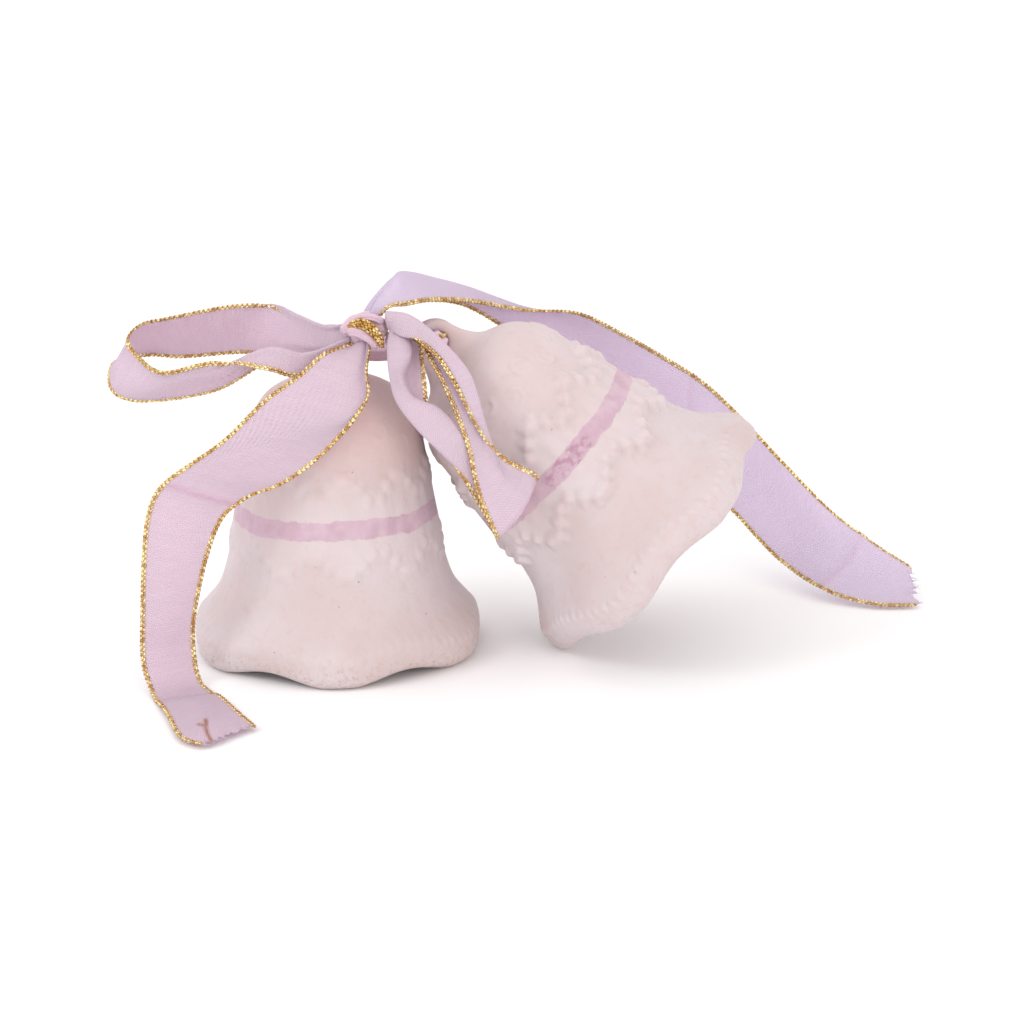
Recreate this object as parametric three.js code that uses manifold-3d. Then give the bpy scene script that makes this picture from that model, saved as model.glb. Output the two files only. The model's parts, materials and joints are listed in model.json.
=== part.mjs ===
// A pair of small bisque porcelain bells tied together with one length of gold-edged ribbon.
// The left bell stands on its rim, the right bell leans with one lobe of its rim on the table,
// and the ribbon runs through both lugs and is tied in a bow between them.
// Millimetres, +Z up, the viewer's side is -Y. The origin ends up under the middle of the whole object.

import * as THREE from 'three';
import { mergeVertices } from 'three/addons/utils/BufferGeometryUtils.js';
import Module from 'manifold-3d';

const wasm = await Module();
wasm.setup();

// ---------- driving dimensions ----------
const RADIANS = Math.PI / 180;

const BELL_HEIGHT = 65; // rim to the top of the lug
const FLARE_RADIUS = 29.1; // widest part of the flared hem
const SHOULDER_RADIUS = 16.4; // where the dome turns over into the side
const WALL = 3;
const CROWN_Z = 55.4; // top of the dome, under the lug
const LOBES = 6;
const LOBE_RISE = 1.1; // how far the rim arches up between two lobes, each way from the middle
const LOBE_SWELL = 0.7; // how far a lobe stands out, each way from the middle
const LOBE_FADE_Z = 13; // above this the body is round
const FOOT_TRIM = 0.35; // ground off each lobe, so that the bell stands flat
const LATHE_SEGMENTS = 48;

const LUG_RADIUS = 4.3;
const LUG_THICKNESS = 4;
const LUG_HOLE_RADIUS = 2.3;
const LUG_HOLE_Z = BELL_HEIGHT - LUG_RADIUS;
const LUG_BEVEL = 0.8;

const WIRE_RADIUS = 0.4;
const RING_RADIUS = 1.5; // centre line of the wire rings
const SHANK_RADIUS = 0.5;
const PLUG_TOP_Z = 51.2;
const PLUG_BOTTOM_Z = 48.6;
const PLUG_RADIUS = 4;
const BORE_CLEARANCE = 0.2;
const CLAPPER_PIVOT_Z = 45; // where the clapper's ring hangs on the eye
const CLAPPER_LENGTH = 31.5; // pivot to the centre of the ball
const BALL_RADIUS = 4.5;
const CRIMP_RADIUS = 1.3;
const CRIMP_LENGTH = 2;

const CLOTH_THICKNESS = 0.5;
const BRAID_WIDTH = 1.5;
const BRAID_THICKNESS = 1;
const SEAM_GAP = 0.3; // between the cloth and the braid along its edge
const GATHERED_SHARE = 0.3; // the most of the ribbon's width that one braid takes where it is gathered
const STATIONS = 26; // along each ribbon stretch
const KNOT_CLEARANCE = 0.35;

// where each bell's lug hole is, how the bell is turned about its own axis, and how far it leans
const LEFT_HOLE = new THREE.Vector3(-0.2, -0.2, LUG_HOLE_Z);
const LEFT_TWIST = -26 * RADIANS;
const RIGHT_HOLE = new THREE.Vector3(20, 0.5, 61.7);
const RIGHT_TWIST = 9.5 * RADIANS;
const RIGHT_LEAN = 47.7 * RADIANS;
const RIGHT_CLAPPER_REST = 26 * RADIANS; // the ball lies against the lower wall of the leaning bell

// ---------- materials ----------
const finish = (color, roughness, metalness = 0) =>
  new THREE.MeshStandardMaterial({ color, roughness, metalness });
const bisque = () => finish(0xe3d3d0, 0.75);
const plaster = () => finish(0xd9d2c4, 0.9);
const wire = () => finish(0xb8a060, 0.35, 1);
const sheerCloth = () => finish(0xd9bfd2, 0.8);
const goldBraid = () => finish(0xc9a24a, 0.35, 1);

// ---------- solids ----------
/** Only the positions, with shared vertices, and without triangles that have no area. */
function weld(geometry) {
  const bare = geometry.clone();
  bare.deleteAttribute('normal');
  bare.deleteAttribute('uv');
  const merged = mergeVertices(bare, 1e-4);
  const index = merged.getIndex().array;
  const kept = [];
  for (let i = 0; i < index.length; i += 3) {
    const [a, b, c] = [index[i], index[i + 1], index[i + 2]];
    if (a !== b && b !== c && c !== a) kept.push(a, b, c);
  }
  merged.setIndex(kept);
  return merged;
}

function toSolid(geometry) {
  const welded = weld(geometry);
  return new wasm.Manifold(new wasm.Mesh({
    numProp: 3,
    vertProperties: new Float32Array(welded.getAttribute('position').array),
    triVerts: new Uint32Array(welded.getIndex().array),
  }));
}

function toGeometry(solid) {
  const mesh = solid.getMesh();
  const geometry = new THREE.BufferGeometry();
  geometry.setAttribute('position', new THREE.BufferAttribute(mesh.vertProperties, 3));
  geometry.setIndex(new THREE.BufferAttribute(mesh.triVerts, 1));
  geometry.computeVertexNormals();
  return geometry;
}

const union = (...geometries) =>
  toGeometry(geometries.map(toSolid).reduce((sum, next) => sum.add(next)));

const cut = (geometry, tool) => toGeometry(toSolid(geometry).subtract(toSolid(tool)));

/** A body turned about the Z axis from an outline of [radius, z] pairs. */
function turned(outline, segments = LATHE_SEGMENTS) {
  const points = outline.map(([radius, z]) => new THREE.Vector2(radius, z));
  return new THREE.LatheGeometry(points, segments).rotateX(Math.PI / 2);
}

/** A turned ring: an outline that closes on itself. */
const turnedRing = (outline, segments) => turned([...outline, outline[0]], segments);

const named = (name, geometry, material) => {
  const mesh = new THREE.Mesh(weld(geometry), material);
  mesh.name = name;
  return mesh;
};

// ---------- one bell ----------
/** The shell's section: down the inside from the crown to the rim, then up the outside to the crown. */
function shellOutline() {
  const outside = new THREE.SplineCurve([
    new THREE.Vector2(FLARE_RADIUS - 2.1, 0),
    new THREE.Vector2(FLARE_RADIUS - 0.4, 1.2),
    new THREE.Vector2(FLARE_RADIUS, 3.4),
    new THREE.Vector2(FLARE_RADIUS - 0.5, 6),
    new THREE.Vector2(24, 12.4),
    new THREE.Vector2(21.8, 18.6),
    new THREE.Vector2(20.3, 26),
    new THREE.Vector2(18.8, 34),
    new THREE.Vector2(17.8, 41.2),
    new THREE.Vector2(SHOULDER_RADIUS, 47),
    new THREE.Vector2(12.8, 52.3),
    new THREE.Vector2(7, CROWN_Z - 0.4),
  ]).getPoints(14);
  const inside = new THREE.SplineCurve([
    new THREE.Vector2(0, CROWN_Z - WALL - 0.3),
    new THREE.Vector2(9.5, 50.6),
    new THREE.Vector2(SHOULDER_RADIUS - WALL, 46.2),
    new THREE.Vector2(17.8 - WALL, 40.4),
    new THREE.Vector2(20.3 - WALL, 26),
    new THREE.Vector2(21.8 - WALL, 18.2),
    new THREE.Vector2(24 - WALL, 10.6),
    new THREE.Vector2(FLARE_RADIUS - WALL - 1.7, 3),
    new THREE.Vector2(FLARE_RADIUS - WALL - 0.7, 0),
  ]).getPoints(9);
  return [...inside.map((p) => [p.x, p.y]), ...outside.map((p) => [p.x, p.y]), [0, CROWN_Z]];
}

/** Works the six lobes into the hem: each lobe stands out and down, and is ground flat where it meets the table. */
function scallop(geometry) {
  const position = geometry.getAttribute('position');
  for (let i = 0; i < position.count; i += 1) {
    const x = position.getX(i);
    const y = position.getY(i);
    const z = position.getZ(i);
    const angle = Math.atan2(x, -y);
    const wave = Math.cos(LOBES * angle + Math.PI);
    const fade = Math.max(0, 1 - z / LOBE_FADE_Z);
    const radius = Math.hypot(x, y);
    const swell = radius > 0 ? 1 + (LOBE_SWELL * wave * fade) / radius : 1;
    const rise = Math.max(0, LOBE_RISE * (1 - wave) - FOOT_TRIM) * fade;
    position.setXYZ(i, x * swell, y * swell, z + rise);
  }
  return geometry;
}

/** The lug: a tapering tongue with a round head and a hole through it, from front to back. */
function lugGeometry() {
  const root = 7.4;
  const rootZ = CROWN_Z - 1.6;
  const tongue = new THREE.Shape();
  tongue.moveTo(-root, rootZ);
  tongue.bezierCurveTo(-root + 1.4, rootZ + 3, -LUG_RADIUS - 1.2, LUG_HOLE_Z - 3, -LUG_RADIUS, LUG_HOLE_Z);
  tongue.absarc(0, LUG_HOLE_Z, LUG_RADIUS, Math.PI, 0, true);
  tongue.bezierCurveTo(LUG_RADIUS + 1.2, LUG_HOLE_Z - 3, root - 1.4, rootZ + 3, root, rootZ);
  const hole = new THREE.Path();
  hole.absarc(0, LUG_HOLE_Z, LUG_HOLE_RADIUS, 0, 2 * Math.PI, false);
  tongue.holes.push(hole);
  const depth = LUG_THICKNESS - 2 * LUG_BEVEL;
  return new THREE.ExtrudeGeometry(tongue, {
    depth,
    curveSegments: 6,
    bevelThickness: LUG_BEVEL,
    bevelSize: LUG_BEVEL,
    bevelOffset: -LUG_BEVEL,
    bevelSegments: 2,
  }).translate(0, 0, -depth / 2).rotateX(Math.PI / 2);
}

const shellGeometry = () => union(scallop(turned(shellOutline())), lugGeometry());

/** The plug cast into the crown, with a pocket for the eye's head and a bore for its shank. */
function plugGeometry() {
  const floorZ = PLUG_BOTTOM_Z + 1.3;
  const bore = SHANK_RADIUS + BORE_CLEARANCE;
  return turnedRing([
    [bore, PLUG_BOTTOM_Z],
    [PLUG_RADIUS - 0.8, PLUG_BOTTOM_Z],
    [PLUG_RADIUS, PLUG_BOTTOM_Z + 0.8],
    [PLUG_RADIUS, PLUG_TOP_Z],
    [1.8, PLUG_TOP_Z],
    [1.8, floorZ],
    [bore, floorZ],
  ], 24);
}

const wireRing = () => new THREE.TorusGeometry(RING_RADIUS, WIRE_RADIUS, 8, 20);

/** The wire eye: a ring that hangs from a headed shank. The clapper hooks over the bottom of the ring. */
function eyeGeometry() {
  const ringZ = CLAPPER_PIVOT_Z + RING_RADIUS;
  const headZ = PLUG_BOTTOM_Z + 1.5;
  const shankBottom = ringZ + RING_RADIUS;
  const ring = wireRing().rotateY(Math.PI / 2).translate(0, 0, ringZ);
  const pin = turned([
    [0, shankBottom],
    [SHANK_RADIUS, shankBottom],
    [SHANK_RADIUS, headZ],
    [1.4, headZ],
    [1.4, headZ + 0.7],
    [0, headZ + 0.7],
  ], 12);
  return union(ring, pin);
}

// The clapper's pieces are built about their own pivot, with the ball below it.
function clapperWireGeometry() {
  const ring = wireRing().rotateX(Math.PI / 2);
  const stemEnd = -CLAPPER_LENGTH - BALL_RADIUS - CRIMP_LENGTH - 0.3;
  const stem = turned([
    [0, stemEnd],
    [SHANK_RADIUS, stemEnd],
    [SHANK_RADIUS, -RING_RADIUS],
    [0, -RING_RADIUS],
  ], 12);
  return union(ring, stem);
}

function ballGeometry() {
  const bore = SHANK_RADIUS + BORE_CLEARANCE;
  const poleAngle = Math.asin(bore / BALL_RADIUS);
  const outline = [];
  for (let i = 0; i <= 12; i += 1) {
    const angle = THREE.MathUtils.lerp(-Math.PI / 2 + poleAngle, Math.PI / 2 - poleAngle, i / 12);
    outline.push([BALL_RADIUS * Math.cos(angle), -CLAPPER_LENGTH + BALL_RADIUS * Math.sin(angle)]);
  }
  return turnedRing(outline, 24);
}

function crimpGeometry() {
  const top = -CLAPPER_LENGTH - BALL_RADIUS - 0.1;
  const bore = SHANK_RADIUS + BORE_CLEARANCE / 2;
  return turnedRing([
    [bore, top - CRIMP_LENGTH],
    [CRIMP_RADIUS - 0.3, top - CRIMP_LENGTH],
    [CRIMP_RADIUS, top - CRIMP_LENGTH / 2],
    [CRIMP_RADIUS - 0.3, top],
    [bore, top],
  ], 16);
}

/** A whole bell, hung by its lug hole at the group's own origin, leaning in the XZ plane. */
function bell(side, hole, twist, lean, clapperAngle) {
  const hung = new THREE.Group();
  hung.position.copy(hole);
  hung.rotation.y = -lean;

  const shell = named(`${side}_bell_shell`, shellGeometry(), bisque());
  shell.position.z = -LUG_HOLE_Z;
  const turnedShell = new THREE.Group();
  turnedShell.rotation.z = twist;
  turnedShell.add(shell);

  const fittings = new THREE.Group();
  fittings.position.z = -LUG_HOLE_Z;
  fittings.add(named(`${side}_crown_plug`, plugGeometry(), plaster()));
  fittings.add(named(`${side}_wire_eye`, eyeGeometry(), wire()));

  const clapper = new THREE.Group();
  clapper.position.z = CLAPPER_PIVOT_Z;
  clapper.rotation.y = clapperAngle;
  clapper.add(named(`${side}_clapper_wire`, clapperWireGeometry(), wire()));
  clapper.add(named(`${side}_clapper_ball`, ballGeometry(), bisque()));
  clapper.add(named(`${side}_clapper_crimp`, crimpGeometry(), wire()));
  fittings.add(clapper);

  hung.add(turnedShell, fittings);
  return hung;
}

// ---------- ribbon ----------
const points = (list) => list.map(([x, y, z]) => new THREE.Vector3(x, y, z));
const line = (list) => new THREE.CatmullRomCurve3(points(list), false, 'centripetal');

/** A closed strip through a row of cross-sections, each a top row of points over a bottom row. */
function loft(sections) {
  const rows = sections.map(({ top, bottom }) => [...top, ...bottom.slice().reverse()]);
  const around = rows[0].length;
  const across = around / 2;
  const index = [];
  for (let i = 0; i + 1 < rows.length; i += 1) {
    for (let j = 0; j < around; j += 1) {
      const a = i * around + j;
      const b = i * around + ((j + 1) % around);
      index.push(a, b, b + around, a, b + around, a + around);
    }
  }
  const cap = (first, flip) => {
    for (let k = 0; k + 1 < across; k += 1) {
      const corner = [k, k + 1, around - 2 - k, around - 1 - k].map((n) => first + n);
      const [a, b, c, d] = flip ? corner.reverse() : corner;
      index.push(a, c, b, a, d, c);
    }
  };
  cap(0, false);
  cap((rows.length - 1) * around, true);
  const geometry = new THREE.BufferGeometry();
  geometry.setAttribute('position', new THREE.Float32BufferAttribute(rows.flat().flatMap((p) => [p.x, p.y, p.z]), 3));
  geometry.setIndex(index);
  return geometry;
}

/** Unit vector from a to b. */
const towards = (a, b) => b.clone().sub(a).normalize();

/**
 * The cloth and the two edge braids of one stretch of ribbon.
 * near and far are the two edges, and belly is the line along which the cloth bows between them.
 */
function ribbonStretch({ near, far, belly }) {
  const cloth = [];
  const nearBraid = [];
  const farBraid = [];
  const section = (places, normals, thickness) => {
    const shifted = (sign) => places.map((p, k) => p.clone().addScaledVector(normals[k], (sign * thickness) / 2));
    return { top: shifted(1), bottom: shifted(-1) };
  };
  for (let i = 0; i <= STATIONS; i += 1) {
    const t = i / STATIONS;
    const a = near.getPoint(t);
    const b = far.getPoint(t);
    const middle = belly ? belly.getPoint(t) : a.clone().lerp(b, 0.5);
    const along = near.getTangent(t).add(far.getTangent(t)).normalize();
    const normalAcross = (from, to) => towards(from, to).cross(along).normalize();
    const braidWidth = Math.min(BRAID_WIDTH, GATHERED_SHARE * a.distanceTo(b));
    const inset = braidWidth + SEAM_GAP;
    const nearNormal = normalAcross(a, middle);
    const farNormal = normalAcross(middle, b);
    const clothPlaces = [
      a.clone().addScaledVector(towards(a, middle), inset),
      middle,
      b.clone().addScaledVector(towards(b, middle), inset),
    ];
    cloth.push(section(clothPlaces, [nearNormal, normalAcross(a, b), farNormal], CLOTH_THICKNESS));
    const nearPlaces = [a, a.clone().addScaledVector(towards(a, middle), braidWidth)];
    nearBraid.push(section(nearPlaces, [nearNormal, nearNormal], BRAID_THICKNESS));
    const farPlaces = [b.clone().addScaledVector(towards(b, middle), braidWidth), b];
    farBraid.push(section(farPlaces, [farNormal, farNormal], BRAID_THICKNESS));
  }
  return { cloth: loft(cloth), nearBraid: loft(nearBraid), farBraid: loft(farBraid) };
}

// The knot is a wrapped lump; every stretch of ribbon stops just short of it.
const KNOT_CENTRE = new THREE.Vector3(6.7, -7, 65.8);
const KNOT_RADII = new THREE.Vector3(3, 2.8, 3.4);
const knotGeometry = (extra = 0) =>
  new THREE.SphereGeometry(1, 20, 14)
    .scale(KNOT_RADII.x + extra, KNOT_RADII.y + extra, KNOT_RADII.z + extra)
    .translate(KNOT_CENTRE.x, KNOT_CENTRE.y, KNOT_CENTRE.z);

/** An oval strip swept along a line, for ribbon that is gathered into a cord. */
function gathered(list, halfWidth, halfDepth) {
  const oval = new THREE.Shape();
  oval.absellipse(0, 0, halfWidth, halfDepth, 0, 2 * Math.PI, false, 0);
  return new THREE.ExtrudeGeometry(oval, { steps: 28, curveSegments: 4, bevelEnabled: false, extrudePath: line(list) });
}

/** Left loop: out along the back, round the left end and back along the front, opening upwards. */
const leftLoop = {
  near: line([
    [2.8, -5.8, 66.2], [-0.6, -5, 66.2], [-6.6, -2, 67.9], [-14.3, 2, 69.1], [-27.3, 2, 66.9], [-35.9, -1, 66.3],
    [-39.3, -6, 64], [-35.5, -11, 60.8], [-30.7, -13, 59.6], [-21.4, -14, 61], [-13.9, -13.5, 60.6],
    [-3.7, -10, 62.3], [1.9, -8, 64.2],
  ]),
  far: line([
    [2.6, -5.6, 63.6], [-1.6, -4.8, 63.2], [-8.8, 3, 60.6], [-17.9, 8, 58.6], [-27.4, 9, 57.2], [-37, 6, 57],
    [-44.4, 0, 54.7], [-41.9, -4, 51.8], [-35.2, -7, 51.4], [-27.2, -8.5, 52.5], [-21.3, -9, 54.4],
    [-7.7, -9.2, 58.4], [1.4, -8.1, 62],
  ]),
};

/** Right loop: down over the front of the leaning bell, folded back on itself at the bottom. */
const rightLoop = {
  near: line([
    [11.4, -9, 68], [18.3, -12, 67.4], [23.7, -16.5, 63.5], [27.7, -20.5, 58], [30.3, -23.8, 50.6],
    [34.8, -26, 45.9], [39, -27, 42.2], [39.6, -25.8, 40.2], [35.6, -23.6, 40.6], [28.8, -22.2, 44], [24.6, -20.6, 49.2],
    [20.8, -18.2, 53.4], [18.3, -15, 57.8], [16.2, -11.6, 62],
  ]),
  far: line([
    [11.4, -10.2, 65.4], [16.8, -13.5, 64.6], [21.4, -18, 59.6], [23.6, -21, 53.7], [26.2, -24.2, 47.1],
    [28.4, -26.4, 39], [31.4, -27.8, 30.4], [32.2, -26.6, 27.9], [29.6, -24.2, 29.8], [24.6, -22.6, 36.4],
    [20.6, -21.4, 43.2], [15.8, -19, 49.4], [12.2, -15.4, 55.8], [11.4, -11.6, 61.6],
  ]),
};

/** Left tail: across the front of the left dome, folded over, down to the table and forwards along it. */
const leftTail = {
  near: line([
    [1.5, -10.6, 62.2], [-1.2, -13, 61.4], [-5.5, -16.4, 58.9], [-11.4, -19.2, 53.8], [-19.6, -21.5, 47.7],
    [-25.6, -23, 43.4], [-31.1, -24, 39.6], [-33.6, -25, 34.8], [-34.6, -26, 25.4], [-35.4, -27, 13.8],
    [-35.4, -28, 5], [-33.6, -32.1, 1.1], [-28.8, -43, 0.9], [-24.2, -55.8, 0.9], [-19.7, -59.1, 0.9],
  ]),
  far: line([
    [6.6, -10.8, 60.8], [7.4, -14.2, 59.4], [7.8, -18, 55.7], [4.8, -19.8, 50.7], [-0.9, -20.8, 44.5],
    [-8, -22, 39.4], [-15.6, -22.6, 36.4], [-20, -23.4, 32.3], [-23.2, -24, 24.5], [-25.4, -24, 14.5],
    [-26, -24, 5.8], [-24.6, -27, 1.1], [-20.1, -34, 0.9], [-14.6, -44.6, 0.9], [-11.6, -50.2, 0.9],
  ]),
};

/** Right tail: up out of the knot, over and behind the right bell, then down to the table. */
const rightTail = {
  near: line([
    [9.4, -8, 70.2], [13.4, -5.4, 70.3], [19.1, -0.6, 70.2], [27, 8, 68.6], [37.2, 17.4, 65], [48.6, 24.6, 63],
    [58, 30.4, 57.4], [66, 36.2, 52], [76, 39.6, 44.8], [83.8, 40, 37.5], [93.3, 39.4, 27.6],
    [105, 38, 16], [113.6, 35.4, 10], [122, 33.2, 5],
  ]),
  belly: line([
    [8.2, -5.4, 71.4], [12.4, -0.4, 74.4], [17.2, 4, 74.5], [25.6, 11.6, 70.9], [34.8, 20, 65.7], [45.2, 26.6, 59.9],
    [53.4, 31, 52.9], [62.4, 36.6, 44.5], [72.4, 39.8, 35.8], [84.4, 40.4, 24.6], [95.2, 37.8, 15.6],
    [105.8, 31.6, 9], [113.6, 27.4, 5.6], [121.6, 26.4, 3],
  ]),
  far: line([
    [8.8, -3.4, 68.8], [12.8, 3, 68.2], [17.4, 8.2, 67.6], [23.6, 13.6, 66.9], [31, 20.4, 62.2], [41.8, 27.4, 52.2],
    [49.2, 32.2, 45.4], [58.4, 36.8, 37.2], [67.8, 39.6, 29.4], [82.4, 40, 16.3], [93, 34.6, 6.7],
    [102.4, 24.4, 2.4], [112, 20, 1], [121.4, 19.9, 0.8],
  ]),
};

function ribbonBow() {
  const bow = new THREE.Group();
  const stretches = [
    ['left_loop', leftLoop, 'upper_braid', 'lower_braid'],
    ['right_loop', rightLoop, 'outer_braid', 'inner_braid'],
    ['left_tail', leftTail, 'outer_braid', 'inner_braid'],
    ['right_tail', rightTail, 'upper_braid', 'lower_braid'],
  ];
  const knotSpace = knotGeometry(KNOT_CLEARANCE);
  for (const [name, stretch, nearName, farName] of stretches) {
    const { cloth, nearBraid, farBraid } = ribbonStretch(stretch);
    bow.add(named(`${name}_ribbon`, cut(cloth, knotSpace), sheerCloth()));
    bow.add(named(`${name}_${nearName}`, cut(nearBraid, knotSpace), goldBraid()));
    bow.add(named(`${name}_${farName}`, cut(farBraid, knotSpace), goldBraid()));
  }
  bow.add(named('knot_wrap', knotGeometry(), sheerCloth()));
  const bunch = [[3.4, -10.1, 65.6], [5.4, -11.2, 67.8], [7.6, -11.3, 67.4], [9, -11.1, 65.2], [9.3, -10.7, 62.8]];
  bow.add(named('knot_braid_bunch', gathered(bunch, 0.9, 0.7), goldBraid()));
  bow.add(named('lug_ribbon', lugRibbonGeometry(), sheerCloth()));
  return bow;
}

/** Which way a point straight out of the front of a lug hole lies, in the object's frame. */
function holeDirection(twist, lean) {
  const front = new THREE.Vector3(Math.sin(twist), -Math.cos(twist), 0);
  return front.applyAxisAngle(new THREE.Vector3(0, 1, 0), -lean);
}

/** The ribbon between the bells, gathered into a cord: in at the left lug's front, out at the right lug's front. */
function lugRibbonGeometry() {
  const reach = LUG_THICKNESS / 2 + 1.2;
  const beside = (hole, twist, lean, distance) =>
    hole.clone().addScaledVector(holeDirection(twist, lean), distance).toArray();
  const left = (distance) => beside(LEFT_HOLE, LEFT_TWIST, 0, distance);
  const right = (distance) => beside(RIGHT_HOLE, RIGHT_TWIST, RIGHT_LEAN, distance);
  return gathered([
    [4.4, -6.2, 61.2], [1.4, -5.8, 60.9], left(reach), left(0), left(-reach),
    [6, 4.4, 59.4], [12.6, 4.8, 59.8],
    right(-reach), right(0), right(reach), [17, -5, 62.8], [13.4, -6.2, 63.4], [10.6, -6.6, 63.8],
  ], 1.5, 0.8);
}

// ---------- assembly ----------
const assembly = new THREE.Group();
assembly.add(bell('left', LEFT_HOLE, LEFT_TWIST, 0, 0));
assembly.add(bell('right', RIGHT_HOLE, RIGHT_TWIST, RIGHT_LEAN, RIGHT_CLAPPER_REST));
assembly.add(ribbonBow());

/** Moves the whole object so that the origin is under the middle of its box, on the table. */
function centreOnTable(group) {
  group.updateMatrixWorld(true);
  const box = new THREE.Box3().setFromObject(group, true);
  const middle = box.getCenter(new THREE.Vector3());
  group.position.set(-middle.x, -middle.y, -box.min.z);
  return group;
}

const porcelainBells = new THREE.Group();
porcelainBells.add(centreOnTable(assembly));
export default porcelainBells;
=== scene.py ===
"""A pair of bisque porcelain bells tied together with one gold-edged ribbon.

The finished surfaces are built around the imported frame. Shapes are worked out in millimetres on a bench
whose origin is under the middle of the left bell, with the viewer on the -Y side, and then carried into
the frame's metres. The bells are worked out standing upright on their own axis and carried to their places
by the joints.
"""

import json
import math

import bpy
import numpy as np
from mathutils import Matrix, Vector


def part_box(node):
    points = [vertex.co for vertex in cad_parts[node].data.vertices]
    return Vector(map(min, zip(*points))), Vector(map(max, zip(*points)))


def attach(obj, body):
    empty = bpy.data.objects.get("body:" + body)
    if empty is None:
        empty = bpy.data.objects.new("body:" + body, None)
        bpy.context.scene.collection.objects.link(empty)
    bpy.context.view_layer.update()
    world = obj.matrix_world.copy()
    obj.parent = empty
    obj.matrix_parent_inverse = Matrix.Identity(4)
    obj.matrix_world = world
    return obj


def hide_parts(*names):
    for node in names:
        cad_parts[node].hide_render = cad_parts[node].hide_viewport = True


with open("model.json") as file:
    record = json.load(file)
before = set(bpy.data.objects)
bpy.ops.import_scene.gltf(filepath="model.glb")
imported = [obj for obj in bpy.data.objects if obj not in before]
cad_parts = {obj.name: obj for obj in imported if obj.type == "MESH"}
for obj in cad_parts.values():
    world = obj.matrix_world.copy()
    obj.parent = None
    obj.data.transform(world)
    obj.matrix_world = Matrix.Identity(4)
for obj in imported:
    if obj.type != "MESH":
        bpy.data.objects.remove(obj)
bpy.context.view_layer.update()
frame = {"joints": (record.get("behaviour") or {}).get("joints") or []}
JOINTS = {joint["name"]: joint for joint in frame["joints"]}
MM = 0.001
BACK = Vector((0, 1, 0))

# ---------- driving dimensions, in millimetres ----------
FLARE_RADIUS = 29.1
SHOULDER_RADIUS = 16.4
WALL = 3.0
CROWN_Z = 55.4
LOBES = 6
LOBE_RISE = 1.1
LOBE_SWELL = 0.7
LOBE_FADE_Z = 13.0
FOOT_TRIM = 0.35
LUG_RADIUS = 4.9
LUG_THICKNESS = 4.0
LUG_HOLE_RADIUS = 2.3
LUG_HOLE_Z = 60.7
LEFT_HOLE = np.array((-0.2, -0.2, LUG_HOLE_Z))  # on the bench

CLAPPER_PIVOT_Z = 45.0
CLAPPER_LENGTH = 31.5
BALL_RADIUS = 4.5
WIRE_RADIUS = 0.4
RING_RADIUS = 1.5
SHANK_RADIUS = 0.5
PLUG_TOP_Z = 51.2
PLUG_BOTTOM_Z = 48.6
PLUG_RADIUS = 4.0

RIBBON_WIDTH = 15.0
CLOTH_THICKNESS = 0.24
BRAID_HALF_WIDTH = 0.31
BRAID_HALF_DEPTH = 0.15
STRAND_RADIUS = 0.18
BRAID_PITCH = 2.9
BRAID_STEP = BRAID_PITCH / 18
STRANDS = 3
STRAND_SIDES = 6
STRAND_WIDER = 1.25
STRAND_THINNER = 0.85


# ---------- placing ----------
def bench_to_frame(points):
    """Bench millimetres to the frame's metres."""
    hole = np.array(JOINTS["left_bell_swing"]["pos_m"])
    return (np.asarray(points, float) - LEFT_HOLE) * MM + hole


def placing(origin, back, up):
    """Carries millimetres to metres about an origin, turning Y to back and Z to up."""
    turn = Matrix((back.cross(up), back, up)).transposed().to_4x4()
    return Matrix.Translation(origin) @ turn @ Matrix.Diagonal((MM, MM, MM, 1))


def lug_axis(side):
    """The way through a lug's hole, from the viewer's side to the back."""
    axis = Vector(JOINTS[side + "_bell_swing"]["axis"]).normalized()
    return -axis if axis.y < 0 else axis


def bell_matrix(side, back):
    """Carries an upright bell to where its joints say it hangs, with its far side turned to back."""
    hole = Vector(JOINTS[side + "_bell_swing"]["pos_m"])
    up = Vector(JOINTS[side + "_eye_turn"]["axis"]).normalized()
    return placing(hole, back, up) @ Matrix.Translation((0, 0, -LUG_HOLE_Z))


def clapper_matrix(side):
    """Carries a clapper built about its own pivot to its joint, with its rod along the lean it rests at."""
    pivot = Vector(JOINTS[side + "_clapper_swing"]["pos_m"])
    low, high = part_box(side + "_clapper_ball")
    return placing(pivot, BACK, (pivot - (low + high) / 2).normalized())


def new_object(name, vertices, faces, material):
    mesh = bpy.data.meshes.new(name)
    mesh.from_pydata(np.asarray(vertices, float).tolist(), [], [[int(k) for k in face] for face in faces])
    mesh.update()
    mesh.polygons.foreach_set("use_smooth", [True] * len(mesh.polygons))
    mesh.materials.append(material)
    made = bpy.data.objects.new(name, mesh)
    bpy.context.scene.collection.objects.link(made)
    return made


def store(obj, name, values):
    """Keeps a number or a vector for each vertex, for the materials to read. A lone number goes to all."""
    values = np.asarray(values, np.float32)
    if values.ndim == 0:
        values = np.full(len(obj.data.vertices), values)
    kind = "FLOAT" if values.ndim == 1 else "FLOAT_VECTOR"
    attribute = obj.data.attributes.new(name, kind, "POINT")
    attribute.data.foreach_set("value" if values.ndim == 1 else "vector", values.ravel())


def piece(name, mesh, body, slot, nodes, matrix=None, **kept):
    """A finished piece on its body, in place of the CAD nodes that it stands for.

    The slot names its material, the matrix carries it to its place if the mesh isn't there yet, and the
    rest is kept at its vertices.
    """
    made = new_object(name, *mesh, MATERIALS[slot])
    if matrix:
        made.data.transform(matrix)
    for label, values in kept.items():
        store(made, label, values)
    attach(made, body)
    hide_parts(*nodes)


# ---------- curves and surfaces ----------
def unit(vectors):
    return vectors / np.maximum(np.linalg.norm(vectors, axis=-1, keepdims=True), 1e-9)


def around(count):
    """Even angles round one full turn."""
    return np.linspace(0, 2 * math.pi, count, endpoint=False)


def smooth_step(value, low, high):
    t = np.clip((value - low) / (high - low), 0, 1)
    return t * t * (3 - 2 * t)


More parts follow.
